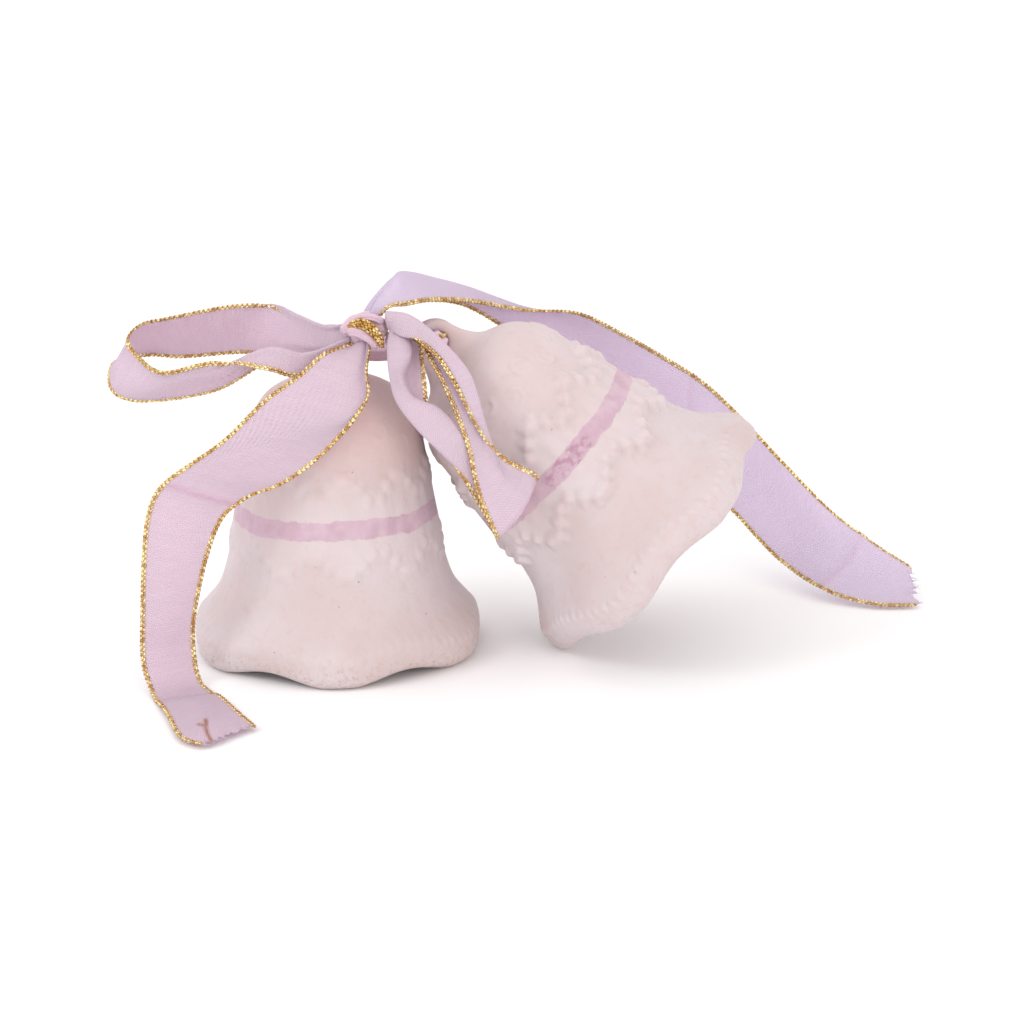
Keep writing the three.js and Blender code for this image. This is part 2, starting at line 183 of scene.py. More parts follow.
def curve(control, per_span):
    """A centripetal Catmull-Rom curve through the control points."""
    p = np.array(control, float)
    p = np.vstack([2 * p[0] - p[1], p, 2 * p[-1] - p[-2]])
    t = np.linspace(0, 1, per_span, endpoint=False)[:, None]
    rows = []
    for a, b, c, d in zip(p[:-3], p[1:-2], p[2:-1], p[3:]):
        before, within, after = (max(np.linalg.norm(v) ** 0.5, 1e-4) for v in (b - a, c - b, d - c))
        leave = ((b - a) / before - (c - a) / (before + within) + (c - b) / within) * within
        arrive = ((c - b) / within - (d - b) / (within + after) + (d - c) / after) * within
        bend = 3 * (c - b) - 2 * leave - arrive
        close = 2 * (b - c) + leave + arrive
        rows.append(b + leave * t + bend * t**2 + close * t**3)
    return np.vstack([*rows, p[-2:-1]])


def lengths(points):
    """How far along a polyline each of its points is."""
    return np.concatenate([[0.0], np.cumsum(np.linalg.norm(np.diff(points, axis=0), axis=1))])


def spaced(points, step, *others):
    """The polyline, and any vectors that go with it, at even steps along its length."""
    reach = lengths(points)
    count = max(int(reach[-1] / step), 4)
    at = np.linspace(0, reach[-1], count + 1)
    return [
        np.column_stack([np.interp(at, reach, column) for column in values.T])
        for values in (points, *others)
    ]


def grid_faces(rows, columns, wrap_rows=False, wrap_columns=False):
    """Quads over a grid of vertices, rows by columns."""
    high = np.arange(rows if wrap_rows else rows - 1)
    wide = np.arange(columns if wrap_columns else columns - 1)
    i, j = (index.ravel() for index in np.meshgrid(high, wide, indexing="ij"))
    i2, j2 = (i + 1) % rows, (j + 1) % columns
    return np.column_stack([i * columns + j, i * columns + j2, i2 * columns + j2, i2 * columns + j])


def capped(rows, columns):
    """The faces of a row of rings, with one polygon over each end."""
    last = (rows - 1) * columns
    sides = grid_faces(rows, columns, wrap_columns=True).tolist()
    return [*sides, list(range(columns))[::-1], list(range(last, last + columns))]


def surface_normals(grid):
    along = unit(np.gradient(grid, axis=0))
    across = unit(np.gradient(grid, axis=1))
    return unit(np.cross(across, along))


def sheet(grid, thickness):
    """A closed sheet of cloth around a grid of points: vertices and faces."""
    rows, columns = grid.shape[:2]
    offset = surface_normals(grid) * thickness / 2
    vertices = np.vstack([(grid + offset).reshape(-1, 3), (grid - offset).reshape(-1, 3)])
    top = grid_faces(rows, columns)
    under = top[:, ::-1] + rows * columns
    edge = np.concatenate([
        np.arange(columns), np.arange(1, rows) * columns + columns - 1,
        (rows - 1) * columns + np.arange(columns - 2, -1, -1), np.arange(rows - 2, 0, -1) * columns,
    ])
    after = np.roll(edge, -1)
    rim = np.column_stack([after, edge, edge + rows * columns, after + rows * columns])
    return vertices, np.vstack([top, under, rim])


def frames_along(points, hint):
    """Unit vectors across a line: side is as close to the hint as it can be, and lift is square to both."""
    along = unit(np.gradient(points, axis=0))
    side = unit(hint - along * np.sum(hint * along, axis=1, keepdims=True))
    return side, np.cross(along, side)


def circles(side, lift, count):
    """A ring of places for each pair of vectors across a line."""
    turn = around(count)[None, :, None]
    return np.cos(turn) * side[:, None] + np.sin(turn) * lift[:, None]


def tube(points, side, lift, radius, segments):
    """A closed tube along a line: side and lift are vectors across it, one of each for each point."""
    radius = np.broadcast_to(np.asarray(radius, float), len(points))[:, None, None]
    rings = (points[:, None] + circles(side, lift, segments) * radius).reshape(-1, 3)
    vertices = np.vstack([rings, points[:1], points[-1:]])
    first, last = len(rings), len(rings) + 1
    end = (len(points) - 1) * segments
    pairs = [(k, (k + 1) % segments) for k in range(segments)]
    caps = [[b, a, first] for a, b in pairs] + [[end + a, end + b, last] for a, b in pairs]
    return vertices, grid_faces(len(points), segments, wrap_columns=True).tolist() + caps


def joined(parts):
    """Several lists of vertices and faces as one."""
    vertices, faces, start = [], [], 0
    for points, quads in parts:
        vertices.append(points)
        faces.extend([[int(k) + start for k in quad] for quad in quads])
        start += len(points)
    return np.vstack(vertices), faces


def lathe(outline, segments, closed=False):
    """A body turned about Z from [radius, z] pairs, with one vertex wherever it meets the axis."""
    vertices, rings = [], []
    for radius, z in outline:
        count = 1 if radius < 1e-6 else segments
        rings.append(range(len(vertices), len(vertices) + count))
        vertices.extend([radius * math.sin(a), -radius * math.cos(a), z] for a in around(segments)[:count])
    faces = []
    pairs = list(zip(rings, rings[1:])) + ([(rings[-1], rings[0])] if closed else [])
    for low, high in pairs:
        for k in range(segments):
            k2 = (k + 1) % segments
            corners = [low[k % len(low)], low[k2 % len(low)], high[k2 % len(high)], high[k % len(high)]]
            corners = list(dict.fromkeys(corners))
            if len(corners) > 2:
                faces.append(corners)
    return np.array(vertices), faces


def ripple(points, scale, seed):
    """Smooth unevenness between -1 and 1, the same at every run."""
    waves = np.random.default_rng(seed).normal(size=(6, 3))
    phases = np.arange(6) * 1.7 + seed
    return np.sin(points @ (waves / scale).T + phases).sum(axis=1) / 6


# ---------- material building ----------
class Shader:
    """Adds nodes to a new material and links them. A value may be a number, a colour or an output."""

    def __init__(self, name):
        self.material = bpy.data.materials.new(name)
        self.material.use_nodes = True
        self.tree = self.material.node_tree
        self.tree.nodes.clear()

    def node(self, kind, inputs, **settings):
        made = self.tree.nodes.new("ShaderNode" + kind)
        for key, value in settings.items():
            setattr(made, key, value)
        for key, value in inputs.items():
            if isinstance(value, bpy.types.NodeSocket):
                self.tree.links.new(value, made.inputs[key])
            else:
                made.inputs[key].default_value = value
        return made.outputs

    def number(self, name):
        """A number kept at the vertices."""
        return self.node("Attribute", {}, attribute_name=name)["Fac"]

    def vector(self, name):
        """A vector kept at the vertices."""
        return self.node("Attribute", {}, attribute_name=name)["Vector"]

    def math(self, operation, a, b=0.0):
        return self.node("Math", {0: a, 1: b}, operation=operation)[0]

    def times(self, a, b):
        return self.math("MULTIPLY", a, b)

    def plus(self, a, b):
        return self.math("ADD", a, b)

    def swing(self, value, reach):
        """A value from 0 to 1 turned into one that swings by half the reach to both sides of 0."""
        return self.times(self.math("SUBTRACT", value, 0.5), reach)

    def stretched(self, vector, scale):
        return self.node("VectorMath", {0: vector, 1: scale}, operation="MULTIPLY")[0]

    def parts(self, vector):
        return self.node("SeparateXYZ", {0: vector})

    def noise(self, vector, scale, detail=3.0, roughness=0.5):
        inputs = {"Vector": vector, "Scale": scale, "Detail": detail, "Roughness": roughness}
        return self.node("TexNoise", inputs)["Fac"]

    def step(self, value, low, high, out_low=0.0, out_high=1.0):
        """A smooth step from out_low at low to out_high at high."""
        inputs = {"Value": value, "From Min": low, "From Max": high, "To Min": out_low, "To Max": out_high}
        return self.node("MapRange", inputs, interpolation_type="SMOOTHSTEP")[0]

    def mix(self, factor, a, b):
        return self.node("Mix", {0: factor, 6: a, 7: b}, data_type="RGBA")[2]

    def bump(self, height, distance, **normal):
        return self.node("Bump", {"Height": height, "Strength": 1.0, "Distance": distance, **normal})[0]

    def finish(self, surface):
        self.node("OutputMaterial", {"Surface": surface})
        return self.material


def colour(red, green, blue):
    """A colour from 0 to 255 as the eye sees it, in the linear values that shaders take."""
    def linear(value):
        value /= 255
        return value / 12.92 if value <= 0.04045 else ((value + 0.055) / 1.055) ** 2.4
    return (linear(red), linear(green), linear(blue), 1.0)


BAND_Z = 28.9
BAND_HALF = 1.8
BAND_EDGE = 0.14


def clay_and_painted_light(s, place, z):
    """The bare body's colour: clouded and mottled, worn and pitted along the rim; with painted light lifting
    the raised moulding, and a painted warm tint of bounced light on the crown.
    """
    cloud = s.step(s.noise(place, 0.06, 4.0), 0.35, 0.68)
    body = s.mix(cloud, colour(205, 195, 198), colour(200, 186, 186))
    mottle = s.step(s.noise(place, 0.5, 5.0, 0.6), 0.5, 0.75, 0, 0.35)
    body = s.mix(mottle, body, colour(196, 172, 167))
    # painted light: the raised moulding is lightened as if it caught more light than its hollows
    raised = s.step(s.number("relief"), 0.0, 0.5, 0.0, 0.2)
    body = s.mix(raised, body, colour(216, 206, 209))
    # painted light: a warm peach tint over the crown and shoulder stands in for light bounced from the ribbon
    # and the other bell
    crown = s.times(s.number("warm"), s.step(z, 33.0, 48.0))
    body = s.mix(crown, body, colour(222, 188, 182))
    near_rim = s.times(s.step(z, 7.5, 1.5), s.number("worn"))
    wear = s.times(near_rim, s.step(s.noise(place, 0.9, 6.0, 0.7), 0.45, 0.7))
    body = s.mix(s.times(wear, 0.5), body, colour(176, 147, 135))
    crumbs = s.times(near_rim, s.step(s.noise(place, 1.9, 3.0, 0.6), 0.6, 0.66))
    return s.mix(s.times(crumbs, 0.5), body, colour(142, 112, 98))


def painted_band(s, place, z, body):
    """A band laid on by hand round the outside: its edges wander and the moulded bow is picked out in it."""
    flat = s.stretched(place, (1, 1, 0.25))
    middle = s.plus(s.swing(s.noise(flat, 0.09, 2.0), 2.0), BAND_Z)
    ragged = s.swing(s.noise(place, 0.5, 3.0, 0.6), 1.5)
    reach = s.plus(s.math("ABSOLUTE", s.math("SUBTRACT", z, middle)), ragged)
    band = s.times(s.step(reach, BAND_HALF + BAND_EDGE, BAND_HALF - BAND_EDGE), s.number("outer"))
    strokes = s.step(s.noise(place, 0.3, 3.0, 0.6), 0.3, 0.7)
    paint = s.mix(strokes, colour(187, 154, 172), colour(199, 172, 188))
    dabs = s.times(s.number("rosette"), s.step(s.noise(place, 0.9, 3.0), 0.36, 0.62))
    paint = s.mix(dabs, paint, colour(168, 124, 148))
    cover = s.step(s.noise(flat, 0.4, 4.0, 0.6), 0.3, 0.62, 0.66, 0.84)
    return s.mix(s.times(band, cover), body, paint)


def bisque_material():
    """Unglazed porcelain with a hand-painted band, pinholes, and a fine grain."""
    s = Shader("bisque")
    place = s.vector("bell_place")
    z = s.parts(place)[2]
    body = painted_band(s, place, z, clay_and_painted_light(s, place, z))

    cells = s.node("TexVoronoi", {"Vector": place, "Scale": 0.42})
    pick = s.parts(cells["Color"])
    pin = s.math("LESS_THAN", cells["Distance"], s.times(s.step(pick[0], 0.72, 1.0), 0.085))
    tint = s.mix(s.step(pick[1], 0.35, 0.6), colour(150, 122, 112), colour(206, 140, 112))
    body = s.mix(s.times(pin, 0.7), body, tint)

    grain = s.noise(place, 3.2, 5.0, 0.65)
    bump = s.bump(s.math("SUBTRACT", grain, s.times(pin, 1.5)), 0.035 * MM)
    bump = s.bump(s.noise(place, 0.35, 2.0), 0.22 * MM, Normal=bump)
    return s.finish(s.node("BsdfPrincipled", {
        "Base Color": body, "Roughness": s.step(grain, 0.3, 0.7, 0.62, 0.8), "Normal": bump,
        "Subsurface Weight": 0.3, "Subsurface Radius": (1.0, 0.42, 0.32), "Subsurface Scale": 1.3 * MM,
        "Specular IOR Level": 0.35,
    })[0])


def plaster_material():
    s = Shader("plaster")
    crumb = s.noise(s.node("TexCoord", {})["Object"], 1400.0, 6.0, 0.7)
    tone = s.mix(s.step(crumb, 0.3, 0.7), colour(214, 204, 188), colour(236, 230, 220))
    bump = s.bump(crumb, 0.15 * MM)
    return s.finish(s.node("BsdfPrincipled", {"Base Color": tone, "Roughness": 0.92, "Normal": bump})[0])


def wire_material():
    """Drawn brass wire, dulled in patches."""
    s = Shader("brass_wire")
    place = s.node("TexCoord", {})["Object"]
    patch = s.noise(place, 420.0, 4.0, 0.6)
    scratch = s.noise(place, 5200.0, 3.0)
    return s.finish(s.node("BsdfPrincipled", {
        "Base Color": s.mix(s.step(patch, 0.4, 0.65), colour(214, 178, 104), colour(150, 116, 66)),
        "Metallic": 1.0, "Roughness": s.step(patch, 0.35, 0.7, 0.22, 0.5),
        "Normal": s.bump(scratch, 0.02 * MM),
    })[0])


WEAVE_MM = 0.42


def woven(s, place):
    """The height of twill cloth: weft, warp and the diagonal where they cross."""
    along, across = s.parts(place)[:2]
    drift = s.times(s.noise(place, 0.22, 3.0), 0.5)
    count = 2 * math.pi / WEAVE_MM
    twill = s.math("SINE", s.times(s.plus(s.plus(along, across), drift), count * 0.8))
    weft = s.math("SINE", s.times(s.plus(along, drift), count))
    warp = s.math("SINE", s.times(across, count))
    return s.plus(s.times(s.plus(weft, warp), 0.25), s.times(twill, 0.5))


def cloth_material():
    """Sheer twill: fine diagonal threads, a soft sheen, and light that comes through from behind."""
    s = Shader("sheer_ribbon")
    place = s.vector("ribbon_place")
    threads = woven(s, place)
    slub = s.noise(s.stretched(place, (2.6, 0.12, 1)), 0.8, 3.0, 0.6)
    gathered = s.number("gathered")
    tone = s.mix(s.step(slub, 0.3, 0.7), colour(231, 219, 230), colour(228, 212, 225))
    tone = s.mix(s.step(threads, -0.9, 0.9, 0.16, 0.0), tone, colour(216, 186, 207))
    # painted light: the right tail is tinted a cooler lavender for the cool light that falls on it
    tone = s.mix(s.number("faded"), tone, s.mix(0.6, tone, colour(228, 224, 246)))
    # painted shade: gathered cloth in the knot and between the lugs is tinted deeper pink, for the shade and
    # bounced light inside its folds
    tone = s.mix(s.times(gathered, 0.38), tone, colour(224, 176, 198))
    # painted shade: a darker pink line along each crease
    tone = s.mix(s.times(s.number("crease"), 0.45), tone, colour(214, 170, 198))
    tone = s.mix(s.number("stain"), tone, colour(168, 102, 40))
    bump = s.bump(threads, 0.05 * MM)
    solid = s.node("BsdfPrincipled", {
        "Base Color": tone, "Roughness": 0.72, "Normal": bump, "Sheen Weight": 0.35, "Sheen Roughness": 0.45,
        "Sheen Tint": colour(240, 220, 242), "Specular IOR Level": 0.3,
    })[0]
    glow = s.mix(0.35, tone, colour(236, 192, 218))
    through = s.node("BsdfTranslucent", {"Color": glow, "Normal": bump})[0]
    thin = s.math("SUBTRACT", 1.0, gathered)
    cloth = s.node("MixShader", {0: s.times(thin, 0.34), 1: solid, 2: through})[0]
    clear = s.node("BsdfTransparent", {"Color": colour(252, 244, 251)})[0]
    gaps = s.times(thin, s.step(threads, -0.9, 0.5, 0.12, 0.02))
    return s.finish(s.node("MixShader", {0: gaps, 1: cloth, 2: clear})[0])


def gold_material():
    """Metallic plait: flat foil threads that catch the light one by one, with painted shade in between where
    each thread turns down.
    """
    s = Shader("gold_braid")
    flakes = s.node("TexVoronoi", {"Vector": s.vector("braid_place"), "Scale": 1.3})
    pick = s.parts(flakes["Color"])
    tone = s.mix(s.step(pick[0], 0.0, 1.0), colour(190, 144, 70), colour(255, 236, 172))
    # painted shade: the strands darken to brown where they turn down between one another
    tone = s.mix(s.step(s.number("flat"), 0.8, 0.1, 0.0, 0.8), tone, colour(112, 72, 30))
    return s.finish(s.node("BsdfPrincipled", {
        "Base Color": tone, "Metallic": 1.0, "Roughness": s.step(pick[2], 0.0, 1.0, 0.16, 0.42),
        "Normal": s.bump(pick[1], 0.3 * MM),
    })[0])


MATERIALS = {
    "bisque": bisque_material(),
    "plaster": plaster_material(),
    "wire": wire_material(),
    "ribbon": cloth_material(),
    "gold_braid": gold_material(),
}


# ---------- one bell ----------
def shell_outline():
    """The shell's section in [radius, z]: the outside from rim to crown, and the inside from crown to rim."""
    outside = [
        (FLARE_RADIUS - 2.1, 0), (FLARE_RADIUS - 0.4, 1.2), (FLARE_RADIUS, 3.4), (FLARE_RADIUS - 0.5, 6),
        (24, 12.4), (21.8, 18.6), (20.3, 26), (18.8, 34), (17.8, 41.2), (SHOULDER_RADIUS, 47),
        (12.8, 52.3), (7, CROWN_Z - 0.4), (0, CROWN_Z),
    ]
    inside = [
        (0, CROWN_Z - WALL - 0.3), (9.5, 50.6), (SHOULDER_RADIUS - WALL, 46.2), (17.8 - WALL, 40.4),
        (20.3 - WALL, 26), (21.8 - WALL, 18.2), (24 - WALL, 10.6), (FLARE_RADIUS - WALL - 1.7, 3),
        (FLARE_RADIUS - WALL - 0.7, 0),
    ]
    return curve(outside, 8), curve(inside, 5)


def scallop(points):
    """Works the six lobes into the hem, and grinds each one flat where it meets the table."""
    x, y, z = points.T
    wave = np.cos(LOBES * np.arctan2(x, -y) + math.pi)
    fade = np.maximum(0, 1 - z / LOBE_FADE_Z)
    radius = np.hypot(x, y)
    swell = 1 + LOBE_SWELL * wave * fade / np.maximum(radius, 1)
    rise = np.maximum(0, LOBE_RISE * (1 - wave) - FOOT_TRIM) * fade
    return np.column_stack([x * swell, y * swell, z + rise])


# how far each ring of the lug's surface draws in, and where it lies between the back (1) and the front (-1)
LUG_OUTER_ROUNDING = ((1.0, -1), (0.3, -0.75), (0, 0), (0.3, 0.75), (1.0, 1))
LUG_HOLE_ROUNDING = ((0.8, 1), (0.2, 0.78), (0, 0), (0.2, -0.78), (0.8, -1))
LUG_ROOT = 8.8
LUG_ROOT_Z = CROWN_Z - 2.4


def lug_mesh():
    """The lug: a tapering tongue with a round head, soft edges and a hole from front to back."""
    flank = curve([
        (-LUG_ROOT, LUG_ROOT_Z), (-7.1, 56.2), (-LUG_RADIUS - 0.7, 58.4), (-LUG_RADIUS, LUG_HOLE_Z),
    ], 5)[:-1]
    head = np.linspace(math.pi, 0, 25)
    top = np.column_stack([LUG_RADIUS * np.cos(head), LUG_HOLE_Z + LUG_RADIUS * np.sin(head)])
    base = np.column_stack([np.linspace(LUG_ROOT, -LUG_ROOT, 12)[1:-1], np.full(10, LUG_ROOT_Z)])
    outer = np.vstack([flank, top, flank[::-1] * (-1, 1), base])
    centre = np.array((0, LUG_HOLE_Z))
    inner = centre + unit(outer - centre) * LUG_HOLE_RADIUS
    rings = [(outer + unit(centre - outer) * inset, y) for inset, y in LUG_OUTER_ROUNDING]
    rings += [(inner + unit(inner - centre) * inset, y) for inset, y in LUG_HOLE_ROUNDING]
    rows = [np.insert(ring, 1, y * LUG_THICKNESS / 2, axis=1) for ring, y in rings]
    return np.vstack(rows), grid_faces(len(rows), len(outer), True, True)


def remeshed(parts, voxel):
    """The union of closed bodies as one even mesh: vertices, edges and quads."""
    vertices, faces = joined(parts)
    rough = bpy.data.meshes.new("rough")
    rough.from_pydata(vertices.tolist(), [], faces)
    holder = bpy.data.objects.new("rough", rough)
    bpy.context.scene.collection.objects.link(holder)
    remesh = holder.modifiers.new("even", "REMESH")
    remesh.mode = "VOXEL"
    remesh.voxel_size = voxel
    evaluated = holder.evaluated_get(bpy.context.evaluated_depsgraph_get())
    even = bpy.data.meshes.new_from_object(evaluated)
    points = np.zeros(len(even.vertices) * 3)
    even.vertices.foreach_get("co", points)
    edges = np.zeros(len(even.edges) * 2, int)
    even.edges.foreach_get("vertices", edges)
    quads = [list(p.vertices) for p in even.polygons]
    bpy.data.objects.remove(holder)
    bpy.data.meshes.remove(rough)
    bpy.data.meshes.remove(even)
    return points.reshape(-1, 3), edges.reshape(-1, 2), quads


def relaxed(points, edges, rounds, weight=1.0):
    """Moves each vertex half way to its neighbours' middle, or less by its weight, so many times."""
    count = len(points)
    both = np.vstack([edges, edges[:, ::-1]])
    share = np.bincount(both[:, 0], minlength=count)[:, None]
    weight = np.broadcast_to(weight, count)[:, None] * 0.5
    for _ in range(rounds):
        total = np.column_stack([np.bincount(both[:, 0], points[both[:, 1], k], count) for k in range(3)])
        points = points + (total / share - points) * weight
    return points


CHEVRONS = 10
CHEVRON_TURN = 2 * math.pi / CHEVRONS
UPPER_POINT_Z, UPPER_VALLEY_Z = 40.6, 34.8
LOWER_POINT_Z, LOWER_VALLEY_Z = 18.6, 24.0
COLLAR_RISE = 0.42
FOLD_RISE = 0.10
UPPER_BEAD_RISE = 0.62
LOWER_BEAD_RISE = 0.55
UPPER_BEAD_DROP = 0.7
LOWER_BEAD_LIFT = 0.8
BEADS_PER_SLOPE = 3
PICOTS = 84
PICOT_Z = 6.7
PICOT_RISE = 0.22
SWIRL_RISE = 0.24
SWIRL_RADIUS = 1.5
LOW_SWIRL_Z, HIGH_SWIRL_Z = 44.4, 47.2
# each lump of a moulded bow: its turn and its height from the middle, its tilt, and half its length and width
BOW_LUMPS = (
    (0, 0, 0.2, 1.3, 1.5), (-0.12, 0.7, 0.5, 2.1, 1.0), (0.12, 0.6, -0.5, 2.1, 1.0),
    (-0.13, -0.7, -0.5, 2.2, 0.9), (0.13, -0.8, 0.6, 2.2, 0.9), (-0.24, 0.1, 0.1, 1.3, 1.3),
    (0.25, 0.0, 0.0, 1.2, 1.4),
)


def between(wave, valley, point):
    """The valley's height where the wave is -1, and the point's where it is 1."""
    return valley + (wave + 1) / 2 * (point - valley)


def nearest_turn(angle):
    """The same angle, within half a turn of 0."""
    return (angle + math.pi) % (2 * math.pi) - math.pi


def bead(where, centre_angle, centre_z, tilt, half_long, half_wide):
    """A rounded oval lump, 1 in the middle: tilt is the angle of its long side above the horizontal."""
    angle, z, radius = where
    across = nearest_turn(angle - centre_angle) * radius
    up = z - centre_z
    long_way = (across * math.cos(tilt) + up * math.sin(tilt)) / half_long
    wide_way = (-across * math.sin(tilt) + up * math.cos(tilt)) / half_wide
    return np.maximum(0, 1 - long_way**2 - wide_way**2) ** 1.3


def collar(where):
    """A raised band with ten points up and down, softly pleated."""
    angle, z, _ = where
    turn = angle * CHEVRONS / (2 * math.pi)
    wave = 1 - 4 * np.abs(turn - np.round(turn))
    upper = between(wave, UPPER_VALLEY_Z, UPPER_POINT_Z)
    lower = between(wave, LOWER_VALLEY_Z, LOWER_POINT_Z)
    cover = smooth_step(z, lower - 0.3, lower + 0.9) * smooth_step(z, upper + 0.3, upper - 0.9)
    folds = FOLD_RISE * np.cos(angle * CHEVRONS * 3) * smooth_step(z, 24, 27) * smooth_step(z, 36, 33)
    return COLLAR_RISE * cover + folds * cover


def ruffles(where):
    """Beads down both sides of every point, along both edges of the collar."""
    total = np.zeros_like(where[1])
    for point in range(CHEVRONS):
        for side in (-1, 1):
            for k in range(BEADS_PER_SLOPE):
                part = (k + 0.5) / BEADS_PER_SLOPE
                turn = point * CHEVRON_TURN + side * part * CHEVRON_TURN / 2
                top = UPPER_POINT_Z + part * (UPPER_VALLEY_Z - UPPER_POINT_Z) - UPPER_BEAD_DROP
                total += UPPER_BEAD_RISE * bead(where, turn, top, math.pi / 2 - side * 0.55, 2.1, 1.5)
                low = LOWER_POINT_Z + part * (LOWER_VALLEY_Z - LOWER_POINT_Z) + LOWER_BEAD_LIFT
                total += LOWER_BEAD_RISE * bead(where, turn, low, math.pi / 2 + side * 0.5, 2.2, 1.5)
    return total


def picots(where):
    """Small lumps side by side above the rim, rising and falling with its lobes."""
    angle, z, radius = where
    middle_z = PICOT_Z + 1.2 * np.cos(LOBES * angle)
    turn = angle * PICOTS / (2 * math.pi)
    near = (turn - np.round(turn)) * 2 * math.pi / PICOTS * radius
    return PICOT_RISE * np.maximum(0, 1 - near**2 - ((z - middle_z) / 1.2) ** 2)


def swirls(where):
    """Open curls round the shoulder, low and high by turns."""
    angle, z, radius = where
    total = np.zeros_like(z)
    for k in range(2 * CHEVRONS):
        up = z - (HIGH_SWIRL_Z if k % 2 else LOW_SWIRL_Z)
        across = nearest_turn(angle - (k + 0.5) * CHEVRON_TURN / 2) * radius
        opened = smooth_step(np.cos(np.arctan2(up, across) - k * 1.9), -0.7, 0.1)
        total += SWIRL_RISE * np.exp(-(((np.hypot(across, up) - SWIRL_RADIUS) / 0.42) ** 2)) * opened
    return total


def moulded_bows(where):
    """1 at the top of each lump of the bow at the front and of the bow at the back."""
    bow = np.zeros_like(where[1])
    for middle in (0.0, math.pi):
        for turn, up, *shape in BOW_LUMPS:
            bow = np.maximum(bow, bead(where, middle + turn, BAND_Z + up, *shape))
    return bow


VOXEL = 0.46
SHELL_SEGMENTS = 240
EVEN_ROUNDS = 4
JUNCTION_ROUNDS = 50
CROWN_FADE = (51.5, 54.0)  # the lug blends into the crown above the first of these heights,
LUG_FADE = (59.0, 56.5)  # and below the first of these


def bell_surface():
    """One bell, upright, in millimetres, before its moulding is raised. Both bells are cast alike."""
    outside, inside = shell_outline()
    shell, shell_faces = lathe(np.vstack([outside, inside]), SHELL_SEGMENTS, closed=True)
    points, edges, quads = remeshed([(scallop(shell), shell_faces), lug_mesh()], VOXEL)
    points = relaxed(points, edges, EVEN_ROUNDS)
    junction = smooth_step(points[:, 2], *CROWN_FADE) * smooth_step(points[:, 2], *LUG_FADE)
    points = relaxed(points, edges, JUNCTION_ROUNDS, junction)

    x, y, z = points.T
    radius = np.hypot(x, y)
    wall_radius = wall_radius_at(outside, z)
    outer = smooth_step(radius, wall_radius - 1.7, wall_radius - 1.0) * smooth_step(z, 1.0, 3.0)
    outer = np.maximum(outer, smooth_step(z, 53.0, 54.0))
    where = np.arctan2(x, -y), z, np.maximum(radius, 5)
    height = collar(where) + ruffles(where) + picots(where) + swirls(where)
    height = height * outer * smooth_step(z, 52.5, 50.5)
    normal = outward(points, outside)
    uneven = 0.07 * ripple(points, 7.0, 3) * outer * smooth_step(z, 60, 56)
    return points + normal * uneven[:, None], quads, normal, outer, height, moulded_bows(where) * outer


def wall_radius_at(outside, z):
    order = np.argsort(outside[:, 1])
    return np.interp(z, outside[order, 1], outside[order, 0])


def outward(points, outside):
    """Unit vectors square to the turned wall."""
    x, y, z = points.T
    spread = (wall_radius_at(outside, z + 0.4) - wall_radius_at(outside, z - 0.4)) / 0.8
    reach = np.maximum(np.hypot(x, y), 1e-6)
    return unit(np.column_stack([x / reach, y / reach, -np.clip(spread, -3, 3)]))


# how crisp each bell's moulding is, and how far its bows stand up: the left bell's own are worn away
CRISPNESS = {"left": 0.6, "right": 1.5}
BOW_RISE = {"left": 0.0, "right": 0.5}
WORN = {"left": 1.0, "right": 0.35}  # how far the rim is rubbed and pitted
PAINTED_BOUNCE = {"left": 0.4, "right": 0.1}  # how strongly the crown takes a painted warm tint, standing in for light bounced from the ribbon and the other bell
GRAIN_TURN = {"left": (1, 1, 1), "right": (-1, -1, 1)}  # turned half round, so that the bells differ in grain


def bell_shells():
    points, quads, normal, outer, height, bow = bell_surface()
    for side in ("left", "right"):
        rise = height * CRISPNESS[side] + bow * BOW_RISE[side]
        placed = np.array(bell_matrix(side, lug_axis(side)))
        shell = (points + normal * rise[:, None]) @ placed[:3, :3].T + placed[:3, 3]
        piece(
            side + "_bell_shell_bisque", (shell, quads), side + "_bell", "bisque", [side + "_bell_shell"],
            bell_place=points * GRAIN_TURN[side], outer=outer, relief=height, worn=WORN[side],
            warm=PAINTED_BOUNCE[side], rosette=smooth_step(bow * BOW_RISE[side] / BOW_RISE["right"], 0.0, 0.35),
        )


# ---------- inside the bells ----------
RING_STEPS = 64
WIRE_SIDES = 12
CORNER_STEPS = 4


def rounded(corners, radius):
    """An outline with every corner between its ends rounded."""
    result = [corners[0]]
    for before, corner, after in zip(corners, corners[1:], corners[2:]):
        before, corner, after = (np.array(p, float) for p in (before, corner, after))
        back, ahead = unit(before - corner), unit(after - corner)
        limit = min(radius, 0.45 * np.linalg.norm(before - corner), 0.45 * np.linalg.norm(after - corner))
        start, end = corner + back * limit, corner + ahead * limit
        for t in np.linspace(0, 1, CORNER_STEPS):
            result.append(tuple((1 - t) ** 2 * start + 2 * t * (1 - t) * corner + t**2 * end))
    return result + [corners[-1]]


